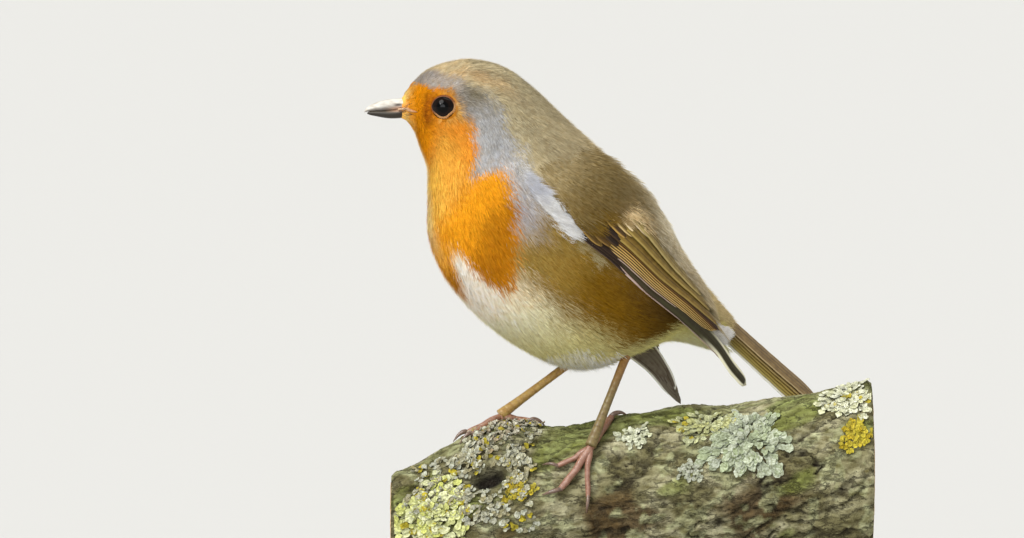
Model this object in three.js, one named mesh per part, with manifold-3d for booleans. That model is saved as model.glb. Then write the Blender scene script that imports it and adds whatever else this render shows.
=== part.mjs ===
// A European robin, life size, standing across a short cut length of branch, which two rods hold on a
// display base. Millimetres, +Z up, origin at the centre of the base's underside. The bird faces -X, its
// body is turned a little towards -Y, and its head looks back along -X.
import * as THREE from 'three';
import { mergeVertices } from 'three/addons/utils/BufferGeometryUtils.js';
import Module from 'manifold-3d';

const wasm = await Module();
wasm.setup();
const { degToRad, radToDeg, lerp, clamp } = THREE.MathUtils;
const point = (x, y, z) => new THREE.Vector3(x, y, z);

// ---- driving dimensions ----
const gap = 0.3; // clearance between neighbouring solids
const bodyYaw = degToRad(22); // the body's turn towards -Y
const headTurn = degToRad(17); // how far the head turns back from it
const neckX = -19; // the upright axis that the head turns about, in the bird's frame
const birdOrigin = point(-10, 0, 60); // the bird's frame in the part's frame

// Sections of the body from bill to tail. Each is a plane through a point of the back and one of the
// underside (x, z), with its half width, how far up its widest place is, how square it is, and its share of
// the head's turn.
const bodySections = [
  { back: [-43, 80.5], under: [-43, 75], half: 2.7, widest: 0.5, square: 2, turn: 1 }, // bill base
  { back: [-41, 84], under: [-41, 71.5], half: 5.6, widest: 0.5, square: 2, turn: 1 }, // forehead
  { back: [-37.5, 87], under: [-39.5, 67], half: 8.2, widest: 0.56, square: 2.1, turn: 1 }, // lores
  { back: [-32, 89], under: [-38, 62.5], half: 9.6, widest: 0.61, square: 2.15, turn: 1 }, // eyes
  { back: [-26, 89.5], under: [-38, 58], half: 10.5, widest: 0.65, square: 2.15, turn: 0.95 }, // crown
  { back: [-18.5, 87.5], under: [-38, 53], half: 12, widest: 0.62, square: 2.15, turn: 0.8 }, // nape
  { back: [-11.5, 82.5], under: [-38, 46.5], half: 14.6, widest: 0.55, square: 2.2, turn: 0.5 }, // neck
  { back: [-4, 75.5], under: [-36, 39.5], half: 18.2, widest: 0.49, square: 2.25, turn: 0.2 }, // shoulders
  { back: [6, 67], under: [-31, 31], half: 21, widest: 0.46, square: 2.3, turn: 0.05 }, // mantle
  { back: [16, 59], under: [-22.5, 23], half: 22.6, widest: 0.44, square: 2.3, turn: 0 }, // breast
  { back: [22.5, 51], under: [-10.5, 16], half: 21.8, widest: 0.45, square: 2.2, turn: 0 }, // back
  { back: [27, 42.5], under: [1.5, 13], half: 18.8, widest: 0.48, square: 2.1, turn: 0 }, // belly
  { back: [31.5, 36.5], under: [13.5, 15.5], half: 13.6, widest: 0.5, square: 2, turn: 0 }, // flanks
  { back: [36.5, 31], under: [24.5, 18.5], half: 9.6, widest: 0.52, square: 2, turn: 0 }, // vent
  { back: [42.5, 25], under: [35, 18.5], half: 7, widest: 0.55, square: 2, turn: 0 }, // tail coverts
];
const bodyMesh = { ringsPerSection: 2.2, around: 18 };
const partings = { head: 5, neck: 7, trunk: 12, width: 0.07 }; // where the body is parted, in sections

// Sections of the folded left wing from shoulder to tip: its upper and lower edge (x, distance from the
// middle, z) in the bird's frame, and how far its middle bulges from the line between them.
const wingSections = [
  { upper: [-5.5, 15.5, 65], lower: [-14.7, 19.6, 57], bulge: 1 },
  { upper: [1.2, 17, 60], lower: [-11.4, 21.6, 51], bulge: 1.3 },
  { upper: [8.1, 18, 53.5], lower: [-7, 23.2, 45.5], bulge: 1.5 },
  { upper: [13.6, 17.5, 47], lower: [-0.4, 23.2, 40.5], bulge: 1.6 },
  { upper: [20.1, 15, 39.5], lower: [8.6, 21, 33], bulge: 1.6 },
  { upper: [26.8, 12.5, 32.5], lower: [18.7, 17.2, 26.5], bulge: 1.2 },
  { upper: [31.5, 10.2, 26.5], lower: [26.4, 13.2, 21.5], bulge: 0.9 },
  { upper: [35.5, 9, 20.5], lower: [32, 11.5, 17], bulge: 0.6 },
  { upper: [39, 9, 15], lower: [35.5, 11, 12], bulge: 0.4 },
  { upper: [41.5, 9, 10], lower: [40, 10, 9], bulge: 0.1 },
];
// The far wing hangs lower, about its shoulder (x, z), and its tip stands further out.
const wingPose = {
  left: { droop: 0, spread: 0 },
  right: { droop: degToRad(9), spread: 3 },
};
const shoulderPoint = [-9, 60];
const pocket = { edge: 1.7, rim: 1.4, floor: 2, sky: 4.5, beyond: 1 }; // the body's hollow round a wing
const coverts = { reach: 0.31, lift: 0.25, thick: 1.15 }; // how far back they lie, and how they bulge
const vaneThickness = 1;

// The flight feathers, each from its root to its tip on the wing's surface (share along, share up).
const primaryTips = [[0.91, 0.05], [0.98, 0.25], [1, 0.6], [0.93, 0.85], [0.83, 0.9]];
const primaries = primaryTips.map((to, i) => ({
  from: [0.24, 0.06 + 0.07 * i],
  to,
  half: 1.5,
  lift: -0.5 + 0.12 * i,
}));
const secondaries = [0, 1, 2, 3].map((i) => ({
  from: [0.24, 0.3 + 0.08 * i],
  to: [0.66 + 0.02 * i, 0.3 + 0.2 * i],
  half: 2.1,
  lift: 0.1 + 0.16 * i,
}));
const tertials = [0, 1, 2].map((i) => ({
  from: [0.22, 0.64 + 0.12 * i],
  to: [0.7 - 0.11 * i, 0.93 - 0.02 * i],
  half: 2.1,
  lift: 0.8 + 0.15 * i,
}));

const bill = {
  baseX: -43.3,
  tip: [-53, 76.2],
  // over shares of the length: the height of the ridge, the height of the cutting edge, and the half width
  upper: [[0, 79.6, 77, 2.1], [0.3, 79.2, 76.75, 1.75], [0.6, 78.5, 76.6, 1.25], [0.85, 77.4, 76.5, 0.7]],
  lower: [[0, 74.9, 76.7, 1.9], [0.3, 74.7, 76.45, 1.55], [0.6, 75, 76.3, 1.1], [0.82, 75.5, 76.2, 0.6]],
  lowerTip: [-52.3, 75.95],
};
const eye = { x: -33.6, y: 7.8, z: 77.4, radius: 3.2 };

const tail = {
  base: [37.5, 26.2],
  length: 35.5,
  pitch: degToRad(-41),
  pairs: 6,
  half: 2.9,
  thick: 1.1,
  step: 0.35, // how far each pair stands beyond and below the last
  fan: degToRad(0.75), // and how much further it turns outwards
  bow: 1.2,
  overlap: 0.15, // how far the right half lies over the left
};

// Sections of the perch along X: its middle's height and its radius.
const perchSections = [
  { x: -55, height: 34.5, radius: 14 },
  { x: -30, height: 39, radius: 16.5 },
  { x: 0, height: 42.8, radius: 18.8 },
  { x: 30, height: 45.2, radius: 19.8 },
  { x: 62, height: 48.8, radius: 21.5 },
];
const perchMesh = { step: 7, around: 20 };
const knob = { x: -30, angle: 0.26, height: 4.2, length: 12, spread: 0.8 }; // the right foot stands on it

// Each foot: its ball's place on the bark (x, angle), its heel joint, and its toes, each with the places
// that it passes over, its radius and its claw's end. Angles are 0 on top of the perch and grow towards -Y.
const feet = {
  left: {
    ball: [-6.6, 0.9],
    heel: point(1.6, -6.5, 75.5),
    toes: {
      inner: { over: [[-10.5, 0.98], [-14.8, 1.04]], radius: 0.62, claw: [-18.2, 0.98] },
      middle: { over: [[-10.2, 1.14], [-14, 1.36]], radius: 0.8, claw: [-18.4, 1.4] },
      outer: { over: [[-7.4, 1.16], [-7.2, 1.5]], radius: 0.62, claw: [-7.6, 1.72] },
      hind: { over: [[-4, 0.62], [-1.4, 0.28]], radius: 0.85, claw: [2.4, 0.22] },
    },
  },
  right: {
    ball: [-28.5, -0.1],
    heel: point(-10.8, 7.5, 75),
    toes: {
      inner: { over: [[-32.3, 0.14], [-35.6, 0.3]], radius: 0.62, claw: [-38.4, 0.36] },
      middle: { over: [[-32.7, -0.06], [-36.6, -0.02]], radius: 0.8, claw: [-40, 0.02] },
      outer: { over: [[-31.7, -0.36], [-34.4, -0.54]], radius: 0.62, claw: [-37, -0.66] },
      hind: { over: [[-24.6, -0.14], [-21, -0.1]], radius: 0.85, claw: [-17.4, -0.1] },
    },
  },
};
const ankleLift = 2.6; // height of the tarsus's lower end over the bark
const tarsusRadii = [1.2, 1, 1.25];
const ankleRadius = 1.5;
const clawTip = { radius: 0.12, lift: 0.35, bow: 1.1 };

const base = { x: 104, y: 66, z: 9, corner: 14, bevel: 1.5 };
const rod = { radius: 2.5, places: [-30, 34], socket: 4 }; // and how deep it goes into base and perch

// ---- materials ----
const surface = (color, roughness, metalness = 0) =>
  new THREE.MeshStandardMaterial({ color, roughness, metalness });
const materials = {
  orange: surface(0xd9831f, 0.8),
  olive: surface(0x8a7a56, 0.8),
  flank: surface(0x9a8a5c, 0.8),
  wing: surface(0x6a5636, 0.7),
  tail: surface(0x7a6544, 0.7),
  bill: surface(0x7d7a78, 0.4),
  eye: surface(0x0c0806, 0.1),
  leg: surface(0x9c7355, 0.55),
  claw: surface(0x4a3a30, 0.4),
  bark: surface(0x6f6a50, 0.95),
  wood: surface(0x3b2a1e, 0.4),
  metal: surface(0xb08d57, 0.3, 1),
};

// ---- helpers ----
const range = (count) => Array.from({ length: count }, (_, i) => i);
const around = (count) => range(count).map((j) => (2 * Math.PI * j) / count);
const shares = (count) => range(count).map((i) => i / (count - 1));

// A smooth curve through rows of numbers (uniform Catmull-Rom), at t counted in rows.
function spline(rows, t) {
  const last = rows.length - 1;
  const i = clamp(Math.floor(t), 0, last - 1);
  const f = clamp(t, 0, last) - i;
  const row = (k) => {
    if (k < 0) return rows[0].map((v, c) => 2 * v - rows[1][c]);
    if (k > last) return rows[last].map((v, c) => 2 * v - rows[last - 1][c]);
    return rows[k];
  };
  const [a, b, c, d] = [row(i - 1), row(i), row(i + 1), row(i + 2)];
  return b.map((p, k) => {
    const slope = c[k] - a[k];
    const bend = 2 * a[k] - 5 * p + 4 * c[k] - d[k];
    const twist = 3 * p - a[k] - 3 * c[k] + d[k];
    return p + 0.5 * f * (slope + f * (bend + f * twist));
  });
}

// A manifold-3d solid from points and faces, turned right side out.
function solidFrom(positions, faces) {
  const vertProperties = new Float32Array(positions);
  const make = (indices) => {
    const triVerts = new Uint32Array(indices);
    return new wasm.Manifold(new wasm.Mesh({ numProp: 3, vertProperties, triVerts }));
  };
  const made = make(faces);
  if (made.volume() >= 0) return made;
  return make(range(faces.length / 3).flatMap((i) => [faces[3 * i], faces[3 * i + 2], faces[3 * i + 1]]));
}

// A closed surface through rings of equally many points, with its two ends filled from their middles.
function closedLoft(rings) {
  const count = rings[0].length;
  const positions = rings.flat().flatMap((p) => p.toArray());
  const faces = [];
  const pairsFrom = (first) => range(count).map((j) => [first + j, first + ((j + 1) % count)]);
  rings.slice(1).forEach((_, i) => {
    for (const [a, b] of pairsFrom(i * count)) faces.push(a, b, b + count, a, b + count, a + count);
  });
  const addEnd = (ring, first, flip) => {
    const middle = ring.reduce((sum, p) => sum.add(p), point(0, 0, 0)).divideScalar(count);
    const hub = positions.length / 3;
    positions.push(...middle.toArray());
    for (const [a, b] of pairsFrom(first)) faces.push(...(flip ? [b, a, hub] : [a, b, hub]));
  };
  addEnd(rings[0], 0, true);
  addEnd(rings[rings.length - 1], (rings.length - 1) * count, false);
  return solidFrom(positions, faces);
}

// A manifold-3d solid from a three.js geometry, and back.
function solidOf(geometry) {
  const bare = geometry.clone();
  bare.deleteAttribute('normal');
  bare.deleteAttribute('uv');
  const merged = mergeVertices(bare, 1e-4);
  return solidFrom([...merged.attributes.position.array], [...merged.index.array]);
}

function geometryOf(solid) {
  const { numVert, numProp, vertProperties, triVerts } = solid.getMesh();
  const values = range(numVert).flatMap((i) => [...vertProperties.subarray(i * numProp, i * numProp + 3)]);
  const geometry = new THREE.BufferGeometry();
  geometry.setAttribute('position', new THREE.Float32BufferAttribute(values, 3));
  geometry.setIndex([...triVerts]);
  geometry.computeVertexNormals();
  return geometry;
}

const joined = (solids) => wasm.Manifold.union(solids);

// What is left of a solid after cuts, without the loose slivers that the cuts leave.
function cutBy(solid, cutters) {
  const left = solid.subtract(joined(cutters)).decompose();
  return left.reduce((best, s) => (s.volume() > best.volume() ? s : best));
}

// A round limb along a smooth curve, with a radius for each of its points.
function limb(points, radii, steps, sides) {
  const curve = new THREE.CatmullRomCurve3(points);
  const frames = curve.computeFrenetFrames(steps, false);
  const sizes = radii.map((r) => [r]);
  const rings = shares(steps + 1).map((t, i) => {
    const middle = curve.getPointAt(t);
    const [radius] = spline(sizes, curve.getUtoTmapping(t) * (radii.length - 1));
    return around(sides).map((angle) => {
      const p = middle.clone().addScaledVector(frames.normals[i], radius * Math.cos(angle));
      return p.addScaledVector(frames.binormals[i], radius * Math.sin(angle));
    });
  });
  return closedLoft(rings);
}

// A feather's vane: flat rings of four along its frames, half as wide as half says, rounded at its tip.
function vane(frameAt, half, thick, grow, rings) {
  const outline = [[-1, 0], [0, 0.5], [1, 0], [0, -0.5]];
  const tipStart = 0.75;
  const tipEnd = 1.03;
  return closedLoft(
    shares(rings).map((share) => {
      const s = 1 - (1 - share) ** 1.3;
      const pastTip = Math.max(s - tipStart, 0) / (tipEnd - tipStart);
      const taper = lerp(0.75, 1, Math.min(s / tipStart, 1)) * Math.sqrt(Math.max(1 - pastTip ** 2, 0.04));
      const { p, across, out } = frameAt(s);
      return outline.map(([w, h]) => {
        const aside = p.clone().addScaledVector(across, w * (half * taper + grow));
        return aside.addScaledVector(out, h * (thick + 2 * grow));
      });
    }),
  );
}

// A solid modelled in the part's frame, seen from the bird's frame.
function seenByBird(solid) {
  return solid.translate(birdOrigin.clone().negate().toArray()).rotate([0, 0, -radToDeg(bodyYaw)]);
}

// Turns a point of the head back about the upright axis of the neck.
function turned(p, share) {
  const axis = point(neckX, 0, 0);
  return p.sub(axis).applyAxisAngle(point(0, 0, 1), -headTurn * share).add(axis);
}

// ---- body ----
const bodyRows = bodySections.map((s) => [...s.back, ...s.under, s.half, s.widest, s.square, s.turn]);

// The point of the body's surface at section t and angle, which is 0 on the back and pi on the underside.
function bodyPoint(t, angle) {
  const [backX, backZ, underX, underZ, half, widest, square, turn] = spline(bodyRows, t);
  const [dx, dz] = [backX - underX, backZ - underZ];
  const rounded = (v) => Math.sign(v) * Math.abs(v) ** (2 / square);
  const up = widest + rounded(Math.cos(angle)) * (Math.cos(angle) > 0 ? 1 - widest : widest);
  return turned(point(underX + dx * up, rounded(Math.sin(angle)) * half, underZ + dz * up), turn);
}

function bodyPiece(from, to) {
  const count = Math.round((to - from) * bodyMesh.ringsPerSection) + 1;
  const ring = (t) => around(bodyMesh.around).map((angle) => bodyPoint(t, angle));
  return closedLoft(shares(count).map((s) => ring(lerp(from, to, s))));
}

// ---- head fittings ----
// Half a bill: rings between a ridge line and a cutting edge, drawn together to the tip.
function mandible(stations, tip) {
  const rings = stations.map(([along, ridge, edge, half]) => {
    const x = lerp(bill.baseX, bill.tip[0], along);
    return around(10).map((angle) => {
      const rise = 0.5 - 0.5 * Math.cos(angle);
      const side = Math.sin(angle) * half * (1.15 - 0.3 * rise);
      return turned(point(x, side, lerp(edge, ridge, rise)), 1);
    });
  });
  const tipPoint = turned(point(tip[0], 0, tip[1]), 1);
  rings.push(rings[rings.length - 1].map((p) => p.clone().lerp(tipPoint, 0.85)));
  return closedLoft(rings);
}

function eyeball(side, grow = 0) {
  const middle = turned(point(eye.x, side * eye.y, eye.z), 1);
  const ball = new THREE.SphereGeometry(eye.radius + grow, 12, 8).rotateX(Math.PI / 2);
  return solidOf(ball.translate(...middle.toArray()));
}

// ---- wings ----
const wingRows = wingSections.map((s) => [...s.upper, ...s.lower, s.bulge]);

// A point of a wing's surface, as if it were on the +Y side.
function wingPlace(side, along, up) {
  const [ux, uy, uz, lx, ly, lz, bulge] = spline(wingRows, along * (wingRows.length - 1));
  const { droop, spread } = wingPose[side];
  const [hingeX, hingeZ] = shoulderPoint;
  const [dx, dz] = [lerp(lx, ux, up) - hingeX, lerp(lz, uz, up) - hingeZ];
  return point(
    hingeX + dx * Math.cos(droop) + dz * Math.sin(droop),
    lerp(ly, uy, up) + 4 * up * (1 - up) * bulge + spread * along * along,
    hingeZ + dz * Math.cos(droop) - dx * Math.sin(droop),
  );
}

// The same point with its directions: along the wing, up across it, and out of it.
function wingFrame(side, along, up) {
  const step = 0.01;
  const between = (a, b) => wingPlace(side, ...b).sub(wingPlace(side, ...a)).normalize();
  const tangent = between([Math.max(along - step, 0), up], [Math.min(along + step, 1), up]);
  const rise = between([along, Math.max(up - step, 0)], [along, Math.min(up + step, 1)]);
  const out = point(0, 0, 0).crossVectors(rise, tangent).normalize();
  return { p: wingPlace(side, along, up), tangent, across: point(0, 0, 0).crossVectors(tangent, out), out };
}

const onSide = (p, side) => (side === 'left' ? point(p.x, -p.y, p.z) : p);

function wingVane(side, { from, to, half, lift }, grow = 0) {
  const frameAt = (s) => {
    const along = lerp(from[0], to[0] + grow * 0.01, s);
    const { p, across, out } = wingFrame(side, along, lerp(from[1], to[1], s));
    p.addScaledVector(out, lift);
    return { p: onSide(p, side), across: onSide(across, side), out: onSide(out, side) };
  };
  return vane(frameAt, half, vaneThickness, grow, 5);
}

// The front of the wing, where its small feathers lie: one rounded panel.
function covertPanel(side, grow = 0) {
  const { reach, lift, thick } = coverts;
  const ring = (s) => {
    const round = Math.sqrt(Math.max(1 - ((s - 0.45) / 0.58) ** 4, 0.05));
    return around(12).map((angle) => {
      const up = 0.5 - 0.5 * Math.cos(angle) * round * (1.02 + grow * 0.1);
      const { p, out, tangent } = wingFrame(side, Math.max(reach * s - grow * 0.01, 0), clamp(up, 0, 1));
      p.addScaledVector(out, lift + Math.sin(angle) * (thick * round + grow));
      return onSide(p.addScaledVector(tangent, (s - 0.5) * 2 * grow), side);
    });
  };
  return closedLoft(shares(9).map(ring));
}

// The hollow in the body that the folded wing lies in: deepest along its middle.
function wingPocket(side) {
  const { edge, rim, floor, sky, beyond } = pocket;
  const ring = (along) => {
    const [low, middle, high] = [0, 0.5, 1].map((up) => wingFrame(side, along, up));
    const corners = [
      [low, -edge, -rim],
      [low, -edge, sky],
      [middle, 0, sky + 1],
      [high, edge, sky],
      [high, edge, -rim],
      [middle, 0, -floor],
    ];
    const past = along === 1 ? beyond : along === 0 ? -beyond : 0;
    return corners.map(([frame, aside, depth]) => {
      const p = frame.p.clone().addScaledVector(frame.across, aside).addScaledVector(frame.out, depth);
      return onSide(p.addScaledVector(frame.tangent, past), side);
    });
  };
  return closedLoft(shares(13).map(ring));
}

// ---- tail ----
const tailAlong = point(Math.cos(tail.pitch), 0, Math.sin(tail.pitch));
const tailUp = point(-Math.sin(tail.pitch), 0, Math.cos(tail.pitch));

function tailPoint(reach, aside, rise) {
  const p = point(tail.base[0], aside, tail.base[1]);
  return p.addScaledVector(tailAlong, reach).addScaledVector(tailUp, rise);
}

function tailVane(pair, side) {
  const lean = -side * 0.12 * pair;
  const sideways = point(0, 1, 0);
  const across = sideways.clone().multiplyScalar(Math.cos(lean)).addScaledVector(tailUp, Math.sin(lean));
  const out = tailUp.clone().multiplyScalar(Math.cos(lean)).addScaledVector(sideways, -Math.sin(lean));
  const frameAt = (s) => {
    const reach = tail.length * (1 - 0.015 * Math.abs(pair - 2)) * s;
    const aside = 0.5 + tail.step * pair + Math.sin(tail.fan * (pair + 0.5)) * reach;
    const rise = tail.bow * s * s - tail.step * pair + tail.overlap * side;
    return { p: tailPoint(reach, side * aside, rise), across, out };
  };
  return vane(frameAt, tail.half, tail.thick, 0, 4);
}

// The hollow in the rump that the tail's roots lie in.
function tailPocket() {
  const corners = [[-1, -3.2], [-1, 0.6], [0, 1.7], [1, 0.6], [1, -3.2]];
  const half = tail.pairs * tail.step + tail.half + 1;
  const ring = (s) => corners.map(([side, rise]) => tailPoint(s * tail.length, side * half, rise));
  return closedLoft([-0.03, 1.1].map(ring));
}

// ---- perch ----
const perchRows = perchSections.map((s) => [s.height, s.radius]);

function perchAt(x) {
  const next = perchSections.findIndex((s) => s.x > x);
  const i = clamp(next < 0 ? perchSections.length - 2 : next - 1, 0, perchSections.length - 2);
  const [a, b] = [perchSections[i].x, perchSections[i + 1].x];
  return spline(perchRows, i + (x - a) / (b - a));
}

// The bark's surface at x and an angle, raised by lift.
function perchPoint(x, angle, lift = 0) {
  const [height, radius] = perchAt(x);
  const turn = Math.atan2(Math.sin(angle - knob.angle), Math.cos(angle - knob.angle));
  const swelling = knob.height * Math.exp(-(((x - knob.x) / knob.length) ** 2) - (turn / knob.spread) ** 2);
  const ripples = 0.45 * Math.sin(3 * angle + 0.13 * x) + 0.3 * Math.sin(5 * angle - 0.31 * x + 1);
  const r = radius + swelling + ripples + lift;
  return point(x, -r * Math.sin(angle), height + r * Math.cos(angle));
}

function perchSolid() {
  const [start, end] = [perchSections[0].x, perchSections[perchSections.length - 1].x];
  const count = Math.round((end - start) / perchMesh.step) + 1;
  const ring = (x) => around(perchMesh.around).map((angle) => perchPoint(x, angle));
  return closedLoft(shares(count).map((s) => ring(lerp(start, end, s))));
}

// ---- legs ----
const ankleOf = (foot) => perchPoint(...foot.ball, ankleLift);

function toeSolid(foot, { over, radius }, grow) {
  const [near, far] = over;
  const start = ankleOf(foot).lerp(perchPoint(...foot.ball, radius), 0.35);
  const points = [start, perchPoint(...near, radius + 0.55), perchPoint(...far, radius + gap)];
  return limb(points, [1.15, 1, 0.85].map((share) => share * radius + grow), 4, 5);
}

function clawSolid({ over, radius, claw }, grow = 0) {
  const root = perchPoint(...over[1], radius + gap);
  const tip = perchPoint(...claw, clawTip.lift);
  const start = root.clone().addScaledVector(tip.clone().sub(root).normalize(), gap);
  const outwards = perchPoint(...claw, clawTip.bow).sub(perchPoint(...claw));
  const middle = start.clone().lerp(tip, 0.5).add(outwards);
  return limb([start, middle, tip], [0.8 * radius + grow, 0.6 * radius + grow, clawTip.radius + grow], 4, 5);
}

function legSolid(foot, grow = 0) {
  const ankle = ankleOf(foot);
  const bend = foot.heel.clone().lerp(ankle, 0.5);
  const shaft = limb([foot.heel, bend, ankle], tarsusRadii.map((r) => r + grow), 6, 7);
  const ball = new THREE.SphereGeometry(ankleRadius + grow, 7, 5);
  const knuckle = solidOf(ball.translate(...ankle.toArray()));
  return joined([shaft, knuckle, ...Object.values(foot.toes).map((toe) => toeSolid(foot, toe, grow))]);
}

// ---- stand ----
function standBase() {
  const { corner, bevel } = base;
  const [hx, hy] = [base.x / 2 - bevel, base.y / 2 - bevel];
  const shape = new THREE.Shape();
  shape.moveTo(-hx + corner, -hy);
  [[1, -1], [1, 1], [-1, 1], [-1, -1]].forEach(([sx, sy], i) => {
    const start = (i - 1) * (Math.PI / 2);
    shape.absarc(sx * (hx - corner), sy * (hy - corner), corner, start, start + Math.PI / 2);
  });
  const depth = base.z - 2 * bevel;
  const rim = { bevelSize: bevel, bevelThickness: bevel, bevelSegments: 1, curveSegments: 4 };
  return solidOf(new THREE.ExtrudeGeometry(shape, { depth, ...rim }).translate(0, 0, bevel));
}

function rodSolid(x, grow = 0) {
  const [height, radius] = perchAt(x);
  const bottom = base.z - rod.socket - grow;
  const top = height - radius + rod.socket + grow;
  const shaft = new THREE.CylinderGeometry(rod.radius + grow, rod.radius + grow, top - bottom, 16);
  return solidOf(shaft.rotateX(Math.PI / 2).translate(x, 0, (top + bottom) / 2));
}

// ---- assembly ----
const robin = new THREE.Group();
const bird = new THREE.Group(); // what is modelled in the bird's own frame
bird.position.copy(birdOrigin);
bird.rotation.z = bodyYaw;
robin.add(bird);

function add(group, name, solid, material) {
  const mesh = new THREE.Mesh(geometryOf(solid), material);
  mesh.name = name;
  group.add(mesh);
}

// Body, parted where its names change, with hollows for the eyes, wings, legs and tail.
const wingHollows = Object.keys(wingPose).map(wingPocket);
const legHollows = Object.values(feet).map((foot) => seenByBird(legSolid(foot, gap)));
const headPiece = bodyPiece(0, partings.head - partings.width);
const neckPiece = bodyPiece(partings.head, partings.neck - partings.width);
const trunkPiece = bodyPiece(partings.neck, partings.trunk - partings.width);
const rumpPiece = bodyPiece(partings.trunk, bodySections.length - 1);
add(bird, 'head', cutBy(headPiece, [eyeball(-1, gap), eyeball(1, gap)]), materials.orange);
add(bird, 'neck', cutBy(neckPiece, wingHollows), materials.olive);
add(bird, 'trunk', cutBy(trunkPiece, [...wingHollows, ...legHollows]), materials.flank);
add(bird, 'rump', cutBy(rumpPiece, [...wingHollows, ...legHollows, tailPocket()]), materials.olive);

add(bird, 'bill_upper', mandible(bill.upper, bill.tip), materials.bill);
add(bird, 'bill_lower', mandible(bill.lower, bill.lowerTip), materials.bill);
add(bird, 'eye_left', eyeball(-1), materials.eye);
add(bird, 'eye_right', eyeball(1), materials.eye);

for (const side of Object.keys(wingPose)) {
  const inner = [...secondaries, ...tertials];
  const covertHollow = covertPanel(side, gap);
  const innerHollow = joined(inner.map((feather) => wingVane(side, feather, gap)));
  const innerFan = joined(inner.map((feather) => wingVane(side, feather)));
  const outerFan = joined(primaries.map((feather) => wingVane(side, feather)));
  add(bird, `wing_${side}_coverts`, covertPanel(side), materials.wing);
  add(bird, `wing_${side}_secondaries`, cutBy(innerFan, [covertHollow]), materials.wing);
  add(bird, `wing_${side}_primaries`, cutBy(outerFan, [covertHollow, innerHollow]), materials.wing);
}

const tailVanes = range(tail.pairs).flatMap((i) => [tailVane(i, -1), tailVane(i, 1)]);
add(bird, 'tail', joined(tailVanes), materials.tail);

// Legs and claws, and the hollows that they need in the bark.
const barkHollows = [];
for (const [side, foot] of Object.entries(feet)) {
  add(robin, `leg_${side}`, legSolid(foot), materials.leg);
  barkHollows.push(legSolid(foot, gap));
  for (const [name, toe] of Object.entries(foot.toes)) {
    add(robin, `claw_${side}_${name}`, cutBy(clawSolid(toe), [legSolid(foot, gap)]), materials.claw);
    barkHollows.push(clawSolid(toe, gap));
  }
}

const rodHollows = rod.places.map((x) => rodSolid(x, gap));
add(robin, 'perch', cutBy(perchSolid(), [...barkHollows, ...rodHollows]), materials.bark);
add(robin, 'stand_base', cutBy(standBase(), rodHollows), materials.wood);
rod.places.forEach((x, i) => add(robin, `stand_rod_${i + 1}`, rodSolid(x), materials.metal));

export default robin;
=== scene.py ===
# A life-size European robin standing across a cut length of branch, which two rods hold on a display base.
# Shapes are worked out in millimetres and go into the meshes in metres, in the part's own frame. The bird's
# body is worked out in the bird's frame, where it faces -X, and is then turned and set on the perch.
import bpy
import numpy as np
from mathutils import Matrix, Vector
from numpy import append, arange, array, broadcast_to, clip, concatenate, cos, cross, exp, full, interp
from numpy import linspace, maximum, minimum, pi, radians, repeat, sin, sqrt, stack, tile, where


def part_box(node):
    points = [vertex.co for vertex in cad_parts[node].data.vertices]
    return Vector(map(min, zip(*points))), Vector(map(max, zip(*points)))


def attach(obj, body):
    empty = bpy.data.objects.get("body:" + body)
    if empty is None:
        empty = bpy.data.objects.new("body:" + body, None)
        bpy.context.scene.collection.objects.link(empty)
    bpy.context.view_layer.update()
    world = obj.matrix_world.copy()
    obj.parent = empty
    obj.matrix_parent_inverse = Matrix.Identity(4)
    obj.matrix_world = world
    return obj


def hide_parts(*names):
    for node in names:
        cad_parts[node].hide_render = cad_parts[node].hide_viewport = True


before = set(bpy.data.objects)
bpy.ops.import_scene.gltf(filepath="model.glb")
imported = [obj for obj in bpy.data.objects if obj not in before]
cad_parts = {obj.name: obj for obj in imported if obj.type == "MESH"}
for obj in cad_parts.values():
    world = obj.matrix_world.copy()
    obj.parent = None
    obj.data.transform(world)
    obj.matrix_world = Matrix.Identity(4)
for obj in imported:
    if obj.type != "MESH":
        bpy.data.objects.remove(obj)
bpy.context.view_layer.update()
print("frame loaded:", len(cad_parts), "nodes")
mm = 0.001
sides = {"left": -1, "right": 1}


# A table of values: one dictionary for each named row, with a value for each column.
def table(columns, rows):
    return {name: dict(zip(columns.split(), row)) for name, row in rows.items()}


# Smooth curve through rows of numbers (Catmull-Rom), at t counted in rows, and straight past its ends.
def spline(rows, t):
    rows = np.asarray(rows, float)
    padded = np.vstack([2 * rows[0] - rows[1], rows, 2 * rows[-1] - rows[-2]])
    t = np.asarray(t, float)
    inside = clip(t, 0, len(rows) - 1)
    i = minimum(inside.astype(int), len(rows) - 2)
    f = (inside - i)[..., None]
    a, b, c, d = (padded[i + k] for k in range(4))
    curve = b + 0.5 * f * (c - a + f * (2 * a - 5 * b + 4 * c - d + f * (3 * b - a - 3 * c + d)))
    return curve + (t - inside)[..., None] * (c - b)


# Angles all the way round, in radians.
def circle(count, start=0.0):
    return linspace(start, start + 2 * pi, count, endpoint=False)


def unit(v):
    return v / maximum(np.linalg.norm(v, axis=-1, keepdims=True), 1e-9)


def lerp(a, b, share):
    return a + (b - a) * share


# 0 below low, 1 above high, and an s-shaped rise between them.
def rise(low, high, v):
    share = clip((v - low) / (high - low), 0, 1)
    return share * share * (3 - 2 * share)


def bell(v, middle, width):
    return exp(-(((v - middle) / width) ** 2))


# A point turned about an upright axis at (axisX, 0) by an angle in radians.
def turned(p, angle, axisX=0.0):
    x, y = p[..., 0] - axisX, p[..., 1]
    c, s = cos(angle), sin(angle)
    return stack([axisX + x * c - y * s, x * s + y * c, p[..., 2]], -1)


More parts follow.
